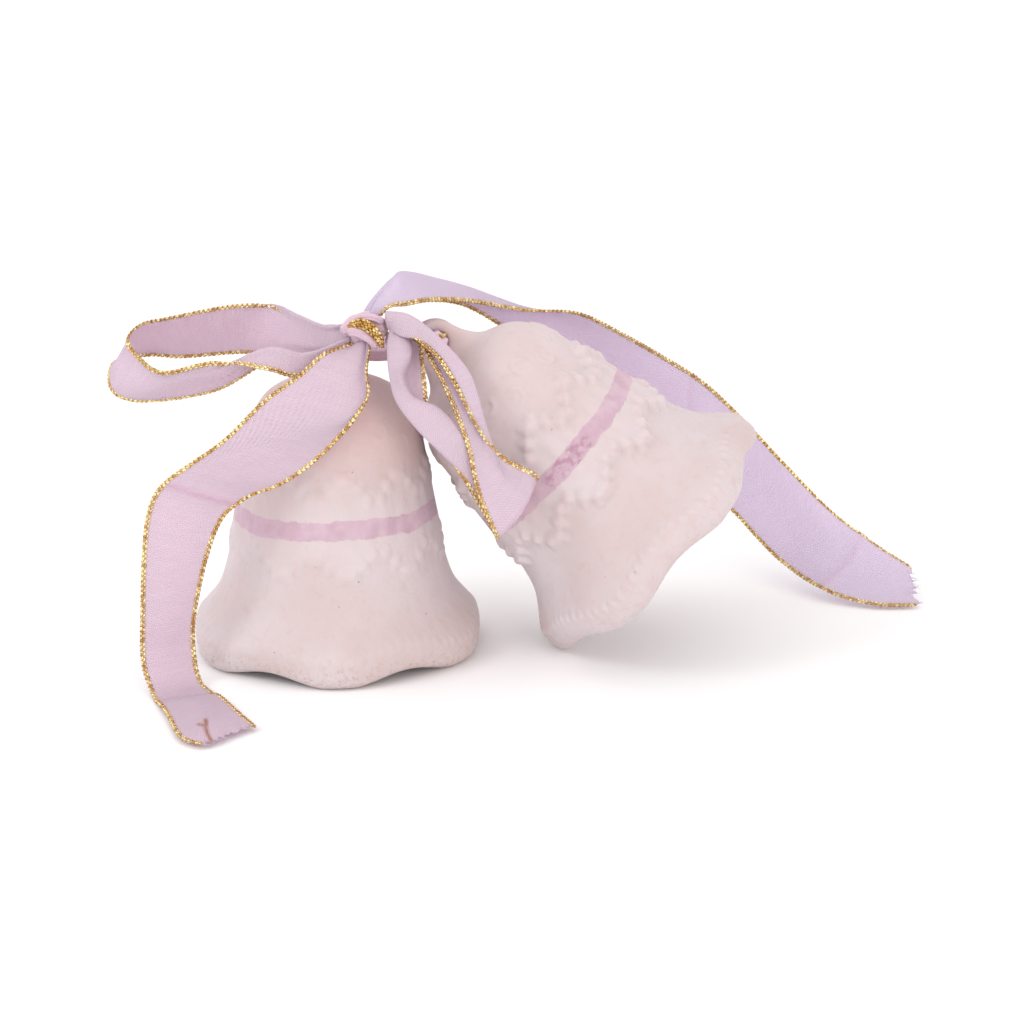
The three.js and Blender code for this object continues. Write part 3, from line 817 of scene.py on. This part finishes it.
def plug_mesh():
    """The plaster plug in the crown, with a pocket for the eye's head and a bore for its shank."""
    bore, pocket, floor_z = SHANK_RADIUS + 0.2, 1.8, PLUG_BOTTOM_Z + 1.3
    corners = [
        (bore, PLUG_BOTTOM_Z + 0.6), (bore, PLUG_BOTTOM_Z), (PLUG_RADIUS - 0.8, PLUG_BOTTOM_Z),
        (PLUG_RADIUS, PLUG_BOTTOM_Z + 0.8), (PLUG_RADIUS, PLUG_TOP_Z), (pocket, PLUG_TOP_Z),
        (pocket, floor_z), (bore, floor_z), (bore, PLUG_BOTTOM_Z + 0.6),
    ]
    vertices, faces = lathe(rounded(corners, 0.3)[:-1], 72, closed=True)
    lumpy = 0.06 * ripple(vertices, 1.2, 5) * (np.hypot(*vertices.T[:2]) > 2)
    return vertices + unit(vertices * (1, 1, 0)) * lumpy[:, None], faces


def ring_mesh(centre, across):
    """A ring of wire about a centre, upright, with its width along X (0) or along Y (1)."""
    out = np.zeros((RING_STEPS, 3))
    out[:, across] = np.cos(around(RING_STEPS))
    out[:, 2] = np.sin(around(RING_STEPS))
    side = np.tile(np.eye(3)[1 - across], (RING_STEPS, 1))
    line = centre + RING_RADIUS * out
    wire = line[:, None] + WIRE_RADIUS * circles(out, side, WIRE_SIDES)
    return wire.reshape(-1, 3), grid_faces(RING_STEPS, WIRE_SIDES, True, True)


def eye_mesh():
    """The wire eye: a ring under a headed shank."""
    ring_z = CLAPPER_PIVOT_Z + RING_RADIUS
    foot_z, head_z, head = ring_z + RING_RADIUS - 0.1, PLUG_BOTTOM_Z + 1.5, 1.4
    pin = [
        (0, foot_z), (SHANK_RADIUS, foot_z), (SHANK_RADIUS, head_z), (head, head_z), (head, head_z + 0.7),
        (0, head_z + 0.7),
    ]
    return joined([ring_mesh((0, 0, ring_z), 1), lathe(rounded(pin, 0.15), 24)])


def clapper_wire_mesh():
    """The clapper's wire: a ring at the pivot and a stem that ends below the crimp."""
    top, end = -RING_RADIUS + 0.2, -CLAPPER_LENGTH - BALL_RADIUS - 2.3
    stem = [(0, end), (SHANK_RADIUS, end), (SHANK_RADIUS, top), (0, top)]
    return joined([ring_mesh((0, 0, 0), 0), lathe(rounded(stem, 0.15), 24)])


def ball_mesh():
    """The clapper's ball, bored through for its wire."""
    pole = math.asin((SHANK_RADIUS + 0.2) / BALL_RADIUS)
    lat = np.linspace(-math.pi / 2 + pole, math.pi / 2 - pole, 49)
    outline = [(BALL_RADIUS * math.cos(a), -CLAPPER_LENGTH + BALL_RADIUS * math.sin(a)) for a in lat]
    vertices, faces = lathe(outline, 96, closed=True)
    lumpy = 0.05 * ripple(vertices, 2.2, 9) * (np.hypot(*vertices.T[:2]) > 1.2)
    return vertices + unit(vertices + (0, 0, CLAPPER_LENGTH)) * lumpy[:, None], faces


def crimp_mesh():
    """The crimped collar under the ball, pinched on four sides."""
    top, bore = -CLAPPER_LENGTH - BALL_RADIUS - 0.1, SHANK_RADIUS + 0.1
    corners = [
        (bore, top - 1), (bore, top - 2), (1.0, top - 2), (1.3, top - 1), (1.0, top), (bore, top),
        (bore, top - 1),
    ]
    vertices, faces = lathe(rounded(corners, 0.25)[:-1], 48, closed=True)
    turn = np.arctan2(vertices[:, 1], vertices[:, 0])
    dent = 1 - 0.12 * np.cos(2 * turn) ** 8 * (np.hypot(*vertices.T[:2]) > 0.8)
    return vertices * np.column_stack([dent, dent, np.ones_like(dent)]), faces


def bell_fittings():
    """What each bell holds to make it ring."""
    for side in ("left", "right"):
        hung = bell_matrix(side, lug_axis(side))
        untwisted = bell_matrix(side, BACK)  # the eye's ring faces along the clapper's swing
        swung = clapper_matrix(side)
        for name, mesh, body, slot, node, matrix in (
            ("plaster_plug", plug_mesh(), "bell", "plaster", "crown_plug", hung),
            ("eye", eye_mesh(), "eye", "wire", "wire_eye", untwisted),
            ("clapper_rod", clapper_wire_mesh(), "clapper", "wire", "clapper_wire", swung),
            ("ball", ball_mesh(), "clapper", "bisque", "clapper_ball", swung),
            ("crimp", crimp_mesh(), "clapper", "wire", "clapper_crimp", swung),
        ):
            kept = {"bell_place": mesh[0] + (40, 0, 60)} if slot == "bisque" else {}
            nodes = [f"{side}_{node}"]
            piece(f"{side}_{name}", mesh, f"{side}_{body}", slot, nodes, matrix, **kept)


# ---------- ribbon ----------
# Each stretch is a family of lines that run along the ribbon, from its near edge across to its far one.
LEFT_LOOP = {
    "near": [
        (4, -6.5, 66), (0, -4.5, 64.5), (-6.5, -1, 65.5), (-12, 2, 68.5), (-18, 2, 69), (-32.5, 1, 66.5),
        (-37, -2.5, 66), (-39, -6.5, 64), (-36.5, -10.5, 61.5), (-32, -13, 59), (-21.5, -14, 61),
        (-11.5, -14, 59.5), (-5.5, -13, 58), (4, -8.5, 63.5),
    ],
    "upper": [
        (4.5, -7, 67), (-0.5, -5.5, 66), (-6.5, -2, 67.5), (-12, 2.5, 68.5), (-18.5, 3.5, 66.5),
        (-33, 4, 64), (-38, 1.5, 63), (-40, -5, 62), (-38, -10, 59.5), (-33, -12.5, 57.5),
        (-21.5, -13.5, 59.5), (-11, -13, 63.5), (-4.5, -11.5, 62), (4, -8, 64.5),
    ],
    "lower": [
        (4, -7, 65), (-1, -5.5, 62.5), (-8, -1.5, 62.5), (-13, 3.5, 62), (-19, 6.5, 61.5), (-32, 7, 60),
        (-38, 4, 60), (-42, -2, 59), (-40.5, -7.5, 55.5), (-36, -10, 54), (-22, -12, 57),
        (-11, -10.5, 61.5), (-5, -9.5, 60.5), (4, -7.5, 63.5),
    ],
    "far": [
        (4, -6.5, 63.5), (-2, -5, 60.5), (-8.5, -0.5, 59.5), (-14, 5, 58.5), (-19.5, 8, 58),
        (-31.5, 8.5, 57), (-37, 5.5, 58), (-43.5, 0, 57.5), (-43, -5, 53.5), (-38.5, -8, 52),
        (-22, -10, 54.5), (-11, -9, 60), (-5, -8.5, 59), (4, -7, 63),
    ],
}
RIGHT_LOOP = {
    "near": [
        (11, -7.5, 67.5), (14, -10, 67), (17.5, -15, 65), (21, -18, 62.5), (24, -21, 58.5), (30, -25, 48.5),
        (34.5, -26.5, 45), (39.5, -27, 42.5), (39.5, -25, 41), (30.5, -23, 45), (26, -21.5, 46.5),
        (19.5, -18, 53), (19, -17, 54), (18.5, -15, 58), (18, -13, 61.5), (17.5, -11, 64),
        (14.5, -9.5, 65.5),
    ],
    "lip": [
        (11, -9.5, 66.5), (14, -12.5, 65.5), (18, -15, 65.5), (21.5, -18, 63), (24.5, -21, 59),
        (30.5, -25.5, 49), (34, -27, 44), (39, -27.5, 41.5), (39, -25.5, 40), (30, -23, 45),
        (26.5, -21.5, 47), (20.5, -18, 53), (17, -16.5, 54.5), (15.5, -14, 58), (16, -11.5, 61.5),
        (15.5, -10, 64), (14, -9, 66),
    ],
    "fold": [
        (11, -9, 69.5), (15, -11.5, 69.5), (19, -14.5, 67.5), (23, -17.5, 64.5), (27, -20.5, 60),
        (31, -25, 48.5), (33.5, -27, 43), (38.5, -28, 40), (38.5, -25.5, 39), (29.5, -24, 44),
        (26, -23.5, 48.5), (21, -21, 53.5), (16, -19, 55.5), (14, -17, 59), (15.5, -15, 62.5),
        (15, -12.5, 64.5), (13.5, -10, 66),
    ],
    "middle": [
        (11, -8, 69), (15, -10.5, 68.5), (19, -13, 66.5), (22.5, -16, 63), (26, -19, 58.5),
        (30, -24.5, 47.5), (33, -27, 42), (37.5, -28, 37.5), (37.5, -26, 36.5), (29, -24.5, 43),
        (24.5, -24, 46.5), (18.5, -22, 52), (14.5, -20, 55), (13, -17.5, 58.5), (13.5, -15.5, 62.5),
        (13.5, -13, 65), (13, -10, 66.5),
    ],
    "back": [
        (11, -7.5, 68), (15, -9.5, 67), (18, -13, 65), (21, -16, 62), (24.5, -19, 58), (28.5, -24.5, 47.5),
        (30.5, -27, 40), (35.5, -28, 34), (35, -26, 33), (27.5, -25, 41), (23.5, -24.5, 44.5),
        (16, -21, 51), (13, -19, 55), (12, -16.5, 58.5), (11.5, -14, 62), (11.5, -11.5, 64.5),
        (12, -10, 66.5),
    ],
    "far": [
        (11, -7, 67), (14.5, -9.5, 66.5), (17.5, -13, 64.5), (19.5, -16.5, 62), (22, -19.5, 58),
        (26.5, -24.5, 47.5), (28.5, -27, 39), (32, -28, 30.5), (32, -26, 30), (26.5, -25, 40),
        (24, -24, 43.5), (18, -19, 50), (14.5, -17, 53.5), (13, -14.5, 57.5), (12.5, -12, 61.5),
        (12, -9.5, 64), (12.5, -9, 66),
    ],
}
LEFT_TAIL = {
    "near": [
        (4, -9, 63.5), (-1, -13.5, 62.5), (-5.5, -17, 59), (-11.5, -19.5, 55), (-19.5, -21.5, 47.5),
        (-25.5, -23, 43.5), (-31, -24, 39.5), (-33.5, -25, 35), (-35.5, -27, 14), (-35.5, -28, 5),
        (-33.5, -32, 1.3), (-29, -43, 1.1), (-24, -56, 1.1), (-19.5, -59, 1.1),
    ],
    "fold": [
        (7, -9.5, 64), (6.5, -14, 59), (6.5, -17, 55.5), (3.5, -20.5, 52.5), (-8, -22, 46.5),
        (-17, -23, 41.5), (-23.5, -24, 38), (-27, -25, 33.5), (-30.5, -26, 14), (-30.5, -26.5, 5.5),
        (-29, -29.5, 1.4), (-24.5, -38.5, 1.8), (-19.5, -50, 1.9), (-15.5, -54.5, 1.2),
    ],
    "far": [
        (8, -9, 64), (7.5, -16.5, 59.5), (8, -19, 56), (6.5, -21, 53), (-1, -21, 44.5), (-8, -22, 39.5),
        (-15.5, -22.5, 36.5), (-20, -23.5, 32.5), (-25.5, -24, 14.5), (-26, -24, 6), (-24.5, -27, 1.3),
        (-20, -34, 1.1), (-14.5, -44.5, 1.1), (-11.5, -50, 1.1),
    ],
}
RIGHT_TAIL = {
    "near": [
        (10, -8.5, 69), (11.5, -8.5, 70.5), (14.5, -6.5, 70.5), (19, -2, 70.5), (27, 9.5, 68),
        (37.5, 19, 64.5), (48.5, 24.5, 63), (58, 30.5, 57.5), (66, 36, 52), (76, 39.5, 45), (84, 40, 37.5),
        (93.5, 39.5, 27.5), (105, 38, 16), (113.5, 35.5, 10), (122, 33, 5),
    ],
    "belly": [
        (7, -7, 68.5), (9, -5, 72), (12.5, -3, 75.5), (13.5, -1, 76), (25.5, 11.5, 71), (35, 20, 65.5),
        (45, 26.5, 60), (53.5, 31, 53), (62.5, 36.5, 44.5), (72.5, 40, 36), (84.5, 40.5, 24.5),
        (95, 38, 15.5), (106, 31.5, 9), (113.5, 27.5, 5.5), (121.5, 26.5, 3),
    ],
    "far": [
        (5.5, -5.5, 67.5), (7.5, -2.5, 69.5), (10, 1.5, 69.5), (13, 4.5, 69), (23.5, 13.5, 67),
        (31, 20.5, 62), (42, 27.5, 52), (49, 32, 45.5), (58.5, 37, 37), (68, 39.5, 29.5), (82.5, 40, 16.5),
        (93, 34.5, 6.5), (102.5, 24.5, 2.4), (112, 20, 1), (121.5, 20, 0.8),
    ],
}
SPAN_STEPS = 18
COLUMNS = 36
PLEAT_SHARE = 0.28  # how much of the spare width the pleats take up
PLEAT_LIMIT = 0.6
PLEAT_REACH = 20.0
SWELL = 0.2
CREASE_REACH = 1.3
CREASE_WIDTH = 0.7


def pleat_depth(grid, station, pleats, cut):
    """How deep the pleats are where the ribbon is narrower than its cloth, fading away from the knot."""
    width = np.linalg.norm(np.diff(grid, axis=1), axis=2).sum(axis=1)
    spare = np.maximum(0, (RIBBON_WIDTH / width) ** 2 - 1)
    depth = np.minimum(width / (2 * math.pi * pleats) * np.sqrt(2 * spare) * PLEAT_SHARE, PLEAT_LIMIT)
    from_knot = station if cut else np.minimum(station, station[-1] - station)
    return depth * np.exp(-from_knot / PLEAT_REACH)


def cloth_grid(stretch, pleats, seed, creases, cut):
    """The ribbon's surface through its lines, how far along it each row is, and how much painted shade lies
    along its creases.

    The cloth is pleated where it is gathered, swells a little, and is dented where it was creased.
    """
    lines = np.stack([curve(line, SPAN_STEPS) for line in stretch.values()])
    blend = curve(np.eye(len(lines)), COLUMNS // (len(lines) - 1))
    grid = np.einsum("cl,lsk->sck", blend, lines)
    station = lengths(lines.mean(axis=0))
    depth = pleat_depth(grid, station, pleats, cut)
    wander = 0.5 * np.sin(station / 5.3 + seed) + 0.3 * np.sin(station / 2.9 + 2 * seed)
    place = np.linspace(0, 1, grid.shape[1])[None, :]
    turn = 2 * math.pi * pleats * place
    fold = np.sin(turn + wander[:, None]) + 0.3 * np.sin(2 * turn + seed)
    window = np.sin(math.pi * place) ** 0.6
    swell = ripple(grid.reshape(-1, 3), 7.0, seed).reshape(grid.shape[:2]) * SWELL
    dents, crease_shade = np.zeros_like(swell), np.zeros_like(swell)
    for near_station, far_station, rise in creases:
        away = station[:, None] - near_station - (far_station - near_station) * place
        dents += rise * np.exp(-np.abs(away) / CREASE_REACH)
        # a painted shade line along each crease, for the cloth's colour
        crease_shade += abs(rise) * np.exp(-((away / CREASE_WIDTH) ** 2))
    height = (fold * depth[:, None] + swell) * window + dents
    return grid + surface_normals(grid) * height[:, :, None], station, crease_shade


STAIN = np.array([(-22.0, -50.4), (-20.6, -51.2), (-20.9, -48.4), (-20.2, -53.0), (-18.6, -57.6)])
STAIN_WIDTH = 0.38
LYING_Z = 4.0  # cloth below this lies on the table


def thread_stain(vertices):
    """The rusty mark by the left tail's cut end, darkest along its middle."""
    path = curve(STAIN, 10)
    away = np.min(np.linalg.norm(vertices[:, None, :2] - path[None], axis=2), axis=1)
    return 0.95 * np.exp(-((away / STAIN_WIDTH) ** 2)) * (vertices[:, 2] < LYING_Z)


def cloth_piece(name, grid, station, crease_shade, **kept):
    vertices, faces = sheet(grid, CLOTH_THICKNESS)
    place = np.zeros(grid.shape)
    place[:, :, 0] = station[:, None]
    place[:, :, 1] = np.linspace(0, RIBBON_WIDTH, grid.shape[1])
    if name == "left_tail":
        kept["stain"] = thread_stain(vertices)
    piece(
        name + "_cloth", (bench_to_frame(vertices), faces), "bow", "ribbon", [name + "_ribbon"],
        ribbon_place=np.tile(place.reshape(-1, 3), (2, 1)), crease=np.tile(crease_shade.ravel(), 2), **kept,
    )


def edge_of(grid, column, inward_column):
    """A selvedge: its line, the way in from it across the cloth, and the way out of the cloth."""
    line = grid[:, column]
    inward = unit(grid[:, inward_column] - line)
    return spaced(line, BRAID_STEP, inward, surface_normals(grid)[:, column])


def braid(line, inward, normal, inset=BRAID_HALF_WIDTH):
    """Three foil strands plaited flat along a line: vertices, faces, and 1 wherever a strand lies flat."""
    centre = line + unit(inward) * inset
    reach = lengths(centre)
    parts, flats = [], []
    for k in range(STRANDS):
        turn = 2 * math.pi * (reach / BRAID_PITCH + k / STRANDS)
        swing = (BRAID_HALF_WIDTH * np.sin(turn))[:, None]
        lift = (BRAID_HALF_DEPTH * np.sin(2 * turn))[:, None]
        strand = centre + unit(inward) * swing + unit(normal) * lift
        side, up = frames_along(strand, unit(inward))
        parts.append(tube(strand, side * STRAND_WIDER, up * STRAND_THINNER, STRAND_RADIUS, STRAND_SIDES))
        flat = np.abs(np.sin(2 * turn))
        flats.append(np.concatenate([np.repeat(flat, STRAND_SIDES), flat[[0, -1]]]))
    vertices, faces = joined(parts)
    return vertices, faces, np.concatenate(flats)


def braid_piece(name, braids, *nodes):
    vertices, faces = joined([made[:2] for made in braids])
    flat = np.concatenate([made[2] for made in braids])
    piece(
        name, (bench_to_frame(vertices), faces), "bow", "gold_braid", nodes, braid_place=vertices, flat=flat,
    )


RAGGED_ROWS = 6
RAGGED_DEPTH = 1.3
LOOSE_THREADS = 34
THREAD_STEPS = 8


def ragged_end(grid, seed):
    """Draws the last rows of a cut end in by different amounts across the ribbon."""
    rng = np.random.default_rng(seed)
    columns = grid.shape[1]
    depths = rng.uniform(0, RAGGED_DEPTH, (columns + 1) // 2)
    notch = np.interp(np.arange(columns), np.arange(0, columns, 2), depths)
    along = unit(grid[-1] - grid[-4])
    for k in range(RAGGED_ROWS):
        grid[-1 - k] -= along * (notch * (1 - k / RAGGED_ROWS))[:, None]


def fray(grid, seed):
    """Loose threads at a cut end."""
    rng = np.random.default_rng(seed)
    parts = []
    along = unit(grid[-1] - grid[-6])
    normal = surface_normals(grid)[-1]
    for _ in range(LOOSE_THREADS):
        column = rng.integers(1, grid.shape[1] - 1)
        reach = rng.uniform(0.5, 1.7)
        bend = rng.normal(0, 0.5, 3)
        bend[2] = abs(bend[2])
        start = grid[-1, column] - along[column] * 0.4
        t = np.linspace(0, 1, THREAD_STEPS)[:, None]
        line = start + along[column] * t * reach + bend * t**2 * reach * 0.7 + normal[column] * 0.05
        side, lift = frames_along(line, np.tile(normal[column], (THREAD_STEPS, 1)))
        parts.append(tube(line, side, lift, np.linspace(0.075, 0.03, THREAD_STEPS), 5))
    return joined(parts)


# each stretch: its lines, pleats, seed, its edges' names, and its creases, which are each given by how far
# along the ribbon they start at the near edge and end at the far one, and by how far they stand up
STRETCHES = (
    ("left_loop", LEFT_LOOP, 2.5, 1, "upper_braid", "lower_braid", []),
    ("right_loop", RIGHT_LOOP, 2.0, 2, "outer_braid", "inner_braid", []),
    ("left_tail", LEFT_TAIL, 2.5, 4, "outer_braid", "inner_braid", [(44.5, 46.5, -0.9), (88, 92, 0.5)]),
    ("right_tail", RIGHT_TAIL, 2.5, 6, "upper_braid", "lower_braid", [(88, 96, -0.4), (143, 134, 0.4)]),
)


def ribbon_stretches():
    for name, stretch, pleats, seed, near_name, far_name, creases in STRETCHES:
        cut = name.endswith("tail")
        # only the right tail takes the painted cool light tint
        faded = 1.0 if name == "right_tail" else 0.0
        grid, station, crease_shade = cloth_grid(stretch, pleats, seed, creases, cut)
        if cut:
            ragged_end(grid, seed)
            threads, faces = fray(grid, seed + 10)
            piece(
                name + "_loose_threads", (bench_to_frame(threads), faces), "bow", "ribbon", [],
                ribbon_place=threads, faded=faded,
            )
        cloth_piece(name, grid, station, crease_shade, faded=faded)
        for edge_name, column, inward_column in ((near_name, 0, 2), (far_name, -1, -3)):
            edge = braid(*edge_of(grid, column, inward_column))
            braid_piece(f"{name}_gold_{edge_name}", [edge], f"{name}_{edge_name}")


# ---------- knot ----------
KNOT_CENTRE = np.array((7.2, -7, 65.9))
KNOT_RADII = np.array((4.1, 3.0, 3.5))
KNOT_CORE_SHARE = 0.94
CORD_SIDES = 48
CORD_STEP = 0.35


def cord(line, hint, half_width, half_depth, folds, depth, seed):
    """Ribbon gathered into a soft cord, oval, with folds running along it: vertices, faces and places."""
    points, hints = spaced(line, CORD_STEP, hint)
    side, lift = frames_along(points, unit(hints))
    reach = lengths(points)
    turn = around(CORD_SIDES)[None, :]
    twist = 0.5 * np.sin(reach / 4.0 + seed)[:, None]
    crease = 1 + depth * np.cos(folds * turn + twist)
    crease = crease + depth / 2 * np.cos((2 * folds + 1) * turn - 1.6 * twist)
    from_end = np.minimum(reach, reach[-1] - reach)
    tucked = np.sqrt(np.clip((from_end + 0.15) / 1.6, 0, 1))
    swell = ((1 + 0.07 * np.sin(reach / 2.1 + seed)) * tucked)[:, None]
    x = (half_width * np.cos(turn) * crease * swell)[:, :, None]
    y = (half_depth * np.sin(turn) * crease * swell)[:, :, None]
    rings = points[:, None] + side[:, None] * x + lift[:, None] * y
    place = np.zeros(rings.shape)
    place[:, :, 0] = reach[:, None]
    place[:, :, 1] = turn / (2 * math.pi) * RIBBON_WIDTH
    return rings.reshape(-1, 3), capped(len(points), CORD_SIDES), place.reshape(-1, 3)


def cord_piece(name, made_cord, *nodes):
    vertices, faces, place = made_cord
    mesh = bench_to_frame(vertices), faces
    piece(name, mesh, "bow", "ribbon", nodes, ribbon_place=place, gathered=1.0)


def knot_core():
    """The lump in the middle, creased by the ribbon wrapped round it: vertices, faces and places."""
    lat = np.linspace(-math.pi / 2, math.pi / 2, 60)[1:-1]
    a, b = np.meshgrid(lat, around(96), indexing="ij")
    ball = np.stack([np.cos(a) * np.cos(b), np.sin(a), np.cos(a) * np.sin(b)], axis=2)
    crease = 1 + 0.05 * np.sin(9 * a + 1.5 * np.sin(b)) + 0.03 * np.sin(5 * b + 3 * a)
    grid = KNOT_CENTRE + ball * KNOT_RADII * crease[:, :, None] * KNOT_CORE_SHARE
    place = np.stack([a * 6, b * 3, a * 0], axis=2)
    return grid.reshape(-1, 3), capped(*a.shape), place.reshape(-1, 3)


KNOT_GOLD = [
    (3.4, -9.2, 66), (4.3, -10.2, 67.1), (5.5, -11, 67.8), (6.9, -11.6, 67.8), (8.2, -11.9, 67),
    (9.2, -11.7, 65.8), (9.8, -11.1, 64.4), (10, -10, 63.1),
]
KNOT_UPPER_FOLD = [
    (2.6, -8.2, 65.2), (3.5, -9.2, 67), (4.7, -9.8, 68.3), (6.4, -10.2, 68.9), (8.1, -10.2, 68.9),
    (9.4, -9.6, 68.3), (10.1, -8.8, 67.3),
]
KNOT_LOWER_FOLD = [
    (3.4, -9, 65.6), (4.7, -10.4, 66.3), (6, -11, 66.1), (7.4, -11.2, 65.3), (8.5, -10.6, 64.1),
    (8.9, -9.4, 62.8),
]


def knot():
    cord_piece("knot_core", knot_core(), "knot_wrap")
    middle = KNOT_CENTRE + (-0.8, 0, -0.9)
    for name, line, half_depth, seed in (
        ("knot_upper_fold", KNOT_UPPER_FOLD, 0.75, 1),
        ("knot_lower_fold", KNOT_LOWER_FOLD, 0.8, 2),
    ):
        arc = curve(line, 8)
        cord_piece(name, cord(arc, unit(arc - middle), 0.95, half_depth, 4, 0.14, seed))
    arc = curve(KNOT_GOLD, 8)
    out = unit((arc - middle) * (1, 0, 1))
    braids = []
    spread = np.sin(math.pi * np.linspace(0.04, 0.9, len(arc)))[:, None]
    for shift, forward in ((-0.6, 0.0), (0.0, 0.2), (0.6, 0.05)):
        moved = arc + (out * shift + np.array((0, -forward, 0))) * spread
        line, away = spaced(moved, BRAID_STEP, out)
        braids.append(braid(line, *frames_along(line, unit(away)), inset=0))
    braid_piece("knot_gold_bunch", braids, "knot_braid_bunch")


def hole_point(side, distance):
    """The place on the lug hole's own axis, on the bench, that far out in front of the lug's middle."""
    joint = JOINTS[side + "_bell_swing"]
    out = np.array(joint["axis"])
    out = -out if out[1] > 0 else out
    hole = (np.array(joint["pos_m"]) - bench_to_frame((0, 0, 0))) / MM
    return hole + out * distance


HANG = np.array((0, 0, 0.45))  # the right bell hangs, so its ribbon bears on the top of its hole
LUG_CORD_HALF_WIDTH = 1.9
LUG_CORD_HALF_DEPTH = 1.85


def lug_ribbon():
    """The ribbon between the bells, drawn through both lugs from front to back."""
    reach = LUG_THICKNESS / 2 + 1.2
    line = curve([
        (4.4, -6.2, 61.2), (1.4, -5.8, 60.9),
        hole_point("left", reach), hole_point("left", 0), hole_point("left", -reach),
        (6, 4.4, 59.4), (12.6, 4.8, 59.8),
        hole_point("right", -reach) + HANG, hole_point("right", 0) + HANG, hole_point("right", reach) + HANG,
        (17, -5, 62.8), (13.4, -6.2, 63.4), (10.6, -6.6, 63.8),
    ], 8)
    up = np.tile((0.0, 0.0, 1.0), (len(line), 1))
    made_cord = cord(line, up, LUG_CORD_HALF_WIDTH, LUG_CORD_HALF_DEPTH, 4, 0.1, 3)
    cord_piece("lug_ribbon_cord", made_cord, "lug_ribbon")
    shown = line[len(line) * 2 // 3:]
    points, hints = spaced(shown, BRAID_STEP, up[:len(shown)])
    side, lift = frames_along(points, unit(hints))
    edge = points + side * 1.3 - lift * 1.45
    braid_piece("lug_ribbon_gold_edge", [braid(edge, side, lift, inset=0)])


# ---------- scene ----------
MIDDLE = Vector(bench_to_frame((35, 0, 27.3)))  # what the camera and the lamps are turned to
FLOOR_HALF = 3.0  # metres, as all of the studio is
SKY = (1.0, 0.96, 0.95, 1.0)
SKY_STRENGTH = 1.12
CAMERA_ELEVATION = math.radians(16.2)
CAMERA_DISTANCE = 0.45
CAMERA_LENS = 79.1
# each lamp: where it is from the middle, its width, its watts and its colour
LAMPS = {
    "key": ((-0.7, -0.4, 0.6), 0.4, 1.9, (0.95, 0.97, 1.0)),
    "fill": ((0.4, -0.82, 0.26), 0.5, 1.8, (1.0, 0.84, 0.78)),
}


def aimed(name, data, offset):
    """A lamp or a camera that far from the middle and turned to it."""
    made = bpy.data.objects.new(name, data)
    made.location = MIDDLE + Vector(offset)
    made.rotation_euler = (MIDDLE - made.location).to_track_quat("-Z", "Y").to_euler()
    bpy.context.scene.collection.objects.link(made)
    return made


def studio():
    """A pale floor, soft light from the upper left, a warm fill, and the camera at the viewer's place."""
    shader = Shader("floor")
    paper = shader.node("BsdfPrincipled", {"Base Color": colour(249, 251, 252), "Roughness": 0.9})
    corners = [(x * FLOOR_HALF, y * FLOOR_HALF, 0) for x, y in ((-1, -1), (1, -1), (1, 1), (-1, 1))]
    new_object("floor", corners, [[0, 1, 2, 3]], shader.finish(paper[0]))

    world = bpy.data.worlds.new("studio")
    world.use_nodes = True
    sky = world.node_tree.nodes["Background"].inputs
    sky["Color"].default_value = SKY
    sky["Strength"].default_value = SKY_STRENGTH
    bpy.context.scene.world = world
    bpy.context.scene.view_settings.view_transform = "Standard"

    for name, (offset, size, watts, tint) in LAMPS.items():
        light = bpy.data.lights.new(name, "AREA")
        light.shape = "DISK"
        light.size = size
        light.energy = watts
        light.color = tint
        aimed(name, light, offset)

    camera_data = bpy.data.cameras.new("camera")
    camera_data.lens = CAMERA_LENS
    camera_data.clip_start = 0.01
    view = Vector((0, -math.cos(CAMERA_ELEVATION), math.sin(CAMERA_ELEVATION)))
    bpy.context.scene.camera = aimed("camera", camera_data, view * CAMERA_DISTANCE)


bell_shells()
bell_fittings()
ribbon_stretches()
knot()
lug_ribbon()
studio()
